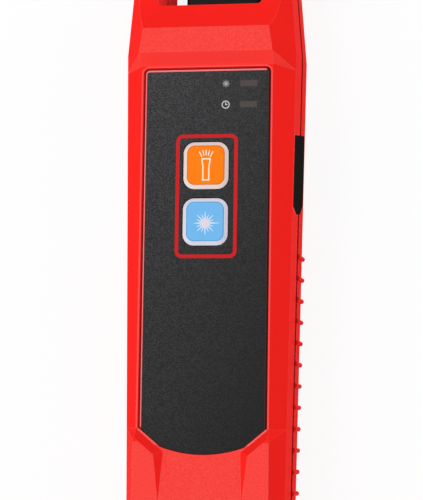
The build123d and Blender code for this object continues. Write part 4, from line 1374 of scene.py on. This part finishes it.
@dataclass
class OpticalHead:
    """The nose block with the fibre port and the torch, and the laser module behind it."""

    block: Colour = (0.008, 0.0085, 0.008)
    cap: Colour = (0.015, 0.015, 0.016)
    nickel: Colour = (0.62, 0.60, 0.56)
    brass: Colour = (0.74, 0.54, 0.24)
    gilt: Colour = (0.80, 0.60, 0.28)
    ceramic: Colour = (0.80, 0.80, 0.76)
    glass: Colour = (0.93, 0.97, 0.98)
    resin: Colour = (0.96, 0.95, 0.86)
    amber: Colour = (0.42, 0.17, 0.03)
    turned: Triple = (1.0, 14.0, 1.0)

    def dress(self) -> None:
        """Gives each of them its finish."""
        block = Moulded("nose_black", self.block, roughness=0.32, grain=0.6, edge=0.25, specular=0.08)
        dress(block, "nose_block")
        cap = Moulded("cap_rubber", self.cap, roughness=0.6, grain=0.4, depth=0.012, edge=0.25)
        dress(cap, "dust_cap")
        dress(Metal("port_nickel", self.nickel, roughness=0.2, marks=self.turned), "fibre_port")
        dress(Metal("barrel_brass", self.brass, roughness=0.26, marks=self.turned), "laser_barrel")
        dress(Metal("diode_gilt", self.gilt, roughness=0.2), "laser_diode")
        sleeve = Moulded("sleeve_ceramic", self.ceramic, roughness=0.2, grain=0.3, edge=0.06)
        dress(sleeve, "ferrule_sleeve")
        dress(Clear("lens_glass", self.glass), "focus_lens", "torch_lens")
        dress(Clear("lamp_resin", self.resin, roughness=0.08, transmission=0.85), "torch_led")
        film = Moulded("flex_amber", self.amber, roughness=0.3, grain=0.8, edge=0.04)
        dress(film, "laser_flex", "torch_flex")


@dataclass
class Electronics:
    """The circuit board with its chip and its indicator lamps."""

    epoxy: Colour = (0.018, 0.018, 0.019)
    lamp: Colour = (0.70, 0.68, 0.52)

    def dress(self) -> None:
        """Gives each of them its finish."""
        dress(SolderMask("board_mask"), "circuit_board")
        dress(Moulded("chip_epoxy", self.epoxy, roughness=0.55, edge=0.08), "controller_chip")
        lamp = Moulded("lamp_ceramic", self.lamp, roughness=0.35, edge=0.06)
        dress(lamp, "laser_lamp", "timer_lamp")


@dataclass
class PowerPack:
    """The two cells with their contacts and springs."""

    nib: float = 1.2
    nickel: Colour = (0.66, 0.64, 0.60)
    rolled: Triple = (1.0, 1.0, 8.0)
    wire: Colour = (0.60, 0.59, 0.56)

    def dress(self) -> None:
        """Gives each of them its finish; a cell's sleeve ends below its nib."""
        for node, nib_up in (("left_cell", True), ("right_cell", False)):
            low, high = node_box(node)
            low_y = low[1] + (0 if nib_up else self.nib)
            high_y = high[1] - (self.nib if nib_up else 0)
            dress(CellSleeve(node + "_sleeve", low_y, high_y, nib_up), node)
        plated = Metal("contact_nickel", self.nickel, roughness=0.28, marks=self.rolled)
        dress(plated, "contact_plus", "contact_minus", "contact_bridge")
        dress(Metal("spring_wire", self.wire), "lower_cell_spring", "upper_cell_spring")


@dataclass(frozen=True)
class Lamp:
    """A square soft lamp that faces the object: place and side in metres, power in watts."""

    name: str
    place: Triple
    side: float
    power: float

    def light(self) -> None:
        """Adds the lamp to the scene."""
        data = bpy.data.lights.new(self.name, "AREA")
        data.size = self.side
        data.energy = self.power
        lamp = placed(self.name, data)
        lamp.location = self.place
        lamp.rotation_euler = Vector(self.place).to_track_quat("Z", "Y").to_euler()


@dataclass
class Studio:
    """Camera, lights and floor.

    The camera's angles are in degrees, its target and the height of its frame in millimetres,
    and its distance and the floor in metres.
    """

    turn: float = 10.86
    tilt: float = 5.63
    roll: float = 0.84
    distance: float = 0.4568
    target: Triple = (1.60, 10.61, 23.11)
    frame_height: float = 114.22
    sensor: float = 36.0
    ambient: float = 0.57
    floor_size: float = 6.0
    floor_colour: Colour = (0.93, 0.93, 0.93)
    floor_z: float = -0.0003
    floor_glow: float = 0.9
    lamps: tuple[Lamp, ...] = (
        Lamp("key_lamp", (-0.38, 0.52, 0.88), side=0.3, power=2.6),
        Lamp("fill_lamp", (0.62, 0.34, 0.46), side=0.6, power=1.5),
        Lamp("low_lamp", (-0.5, -0.65, 0.5), side=0.6, power=3.8),
    )

    def camera(self) -> None:
        """Sets the camera: turned to the right, tilted towards the lower end, then rolled.

        Its back axis points from the target to the camera. Its up axis is the body's length
        seen square to that, and the roll leans the length to the right.
        """
        turn, tilt, roll = (math.radians(angle) for angle in (self.turn, self.tilt, self.roll))
        level = math.cos(tilt)
        back = Vector((math.sin(turn) * level, -math.sin(tilt), math.cos(turn) * level))
        up = (Vector((0, 1, 0)) - back * back.y).normalized()
        right = up.cross(back)
        leant_right = right * math.cos(roll) + up * math.sin(roll)
        leant_up = up * math.cos(roll) - right * math.sin(roll)
        axes = Matrix((leant_right, leant_up, back)).transposed().to_4x4()
        data = bpy.data.cameras.new("camera")
        data.sensor_width = self.sensor
        data.lens = self.sensor * self.distance / (self.frame_height * MM)
        camera = placed("camera", data)
        place = Vector(self.target) * MM + back * self.distance
        camera.matrix_world = Matrix.Translation(place) @ axes
        bpy.context.scene.camera = camera

    def background(self) -> None:
        """Makes the world: an even soft light, white where it is seen."""
        world = bpy.data.worlds.new("studio")
        tree = Tree(world)
        sky = tree.nodes["Background"]
        sky.inputs["Color"].default_value = (1, 1, 1, 1)
        strength = self.ambient + (1 - self.ambient) * tree.in_view()
        tree.links.new(strength.socket, sky.inputs["Strength"])
        bpy.context.scene.world = world

    def floor(self) -> None:
        """Makes the pale floor: white where it is seen, less the object's shadow."""
        half = self.floor_size / 2
        square = ((-1, -1), (1, -1), (1, 1), (-1, 1))
        corners = [(x * half, y * half, self.floor_z) for x, y in square]
        mesh = bpy.data.meshes.new("floor")
        mesh.from_pydata(corners, [], [(0, 1, 2, 3)])
        material = bpy.data.materials.new("floor_paper")
        tree = Tree(material)
        tree.nodes.clear()
        paper = tree.node("ShaderNodeBsdfDiffuse", inputs={"Color": (*self.floor_colour, 1)})
        white = tree.node("ShaderNodeEmission", inputs={"Color": (1, 1, 1, 1)})
        glow = tree.in_view() * self.floor_glow
        mix = tree.node("ShaderNodeMixShader", inputs={0: glow, 1: paper, 2: white})
        output = tree.nodes.new("ShaderNodeOutputMaterial")
        tree.links.new(mix.socket, output.inputs["Surface"])
        mesh.materials.append(material)
        floor = placed("floor", mesh)

    def build(self) -> None:
        """Sets up the whole studio."""
        bpy.context.scene.view_settings.view_transform = "Standard"
        self.camera()
        self.background()
        self.floor()
        for lamp in self.lamps:
            lamp.light()


def main() -> None:
    """Dresses the nodes, prints the signs and sets up the studio."""
    logging.basicConfig(level=logging.INFO, format="%(name)s: %(message)s")
    panel = FacePanel()
    keypad = Keypad()
    for assembly in (Housing(), panel, keypad, OpticalHead(), Electronics(), PowerPack()):
        assembly.dress()
    panel.build()
    keypad.build()
    Studio().build()


if __name__ == "__main__":
    main()
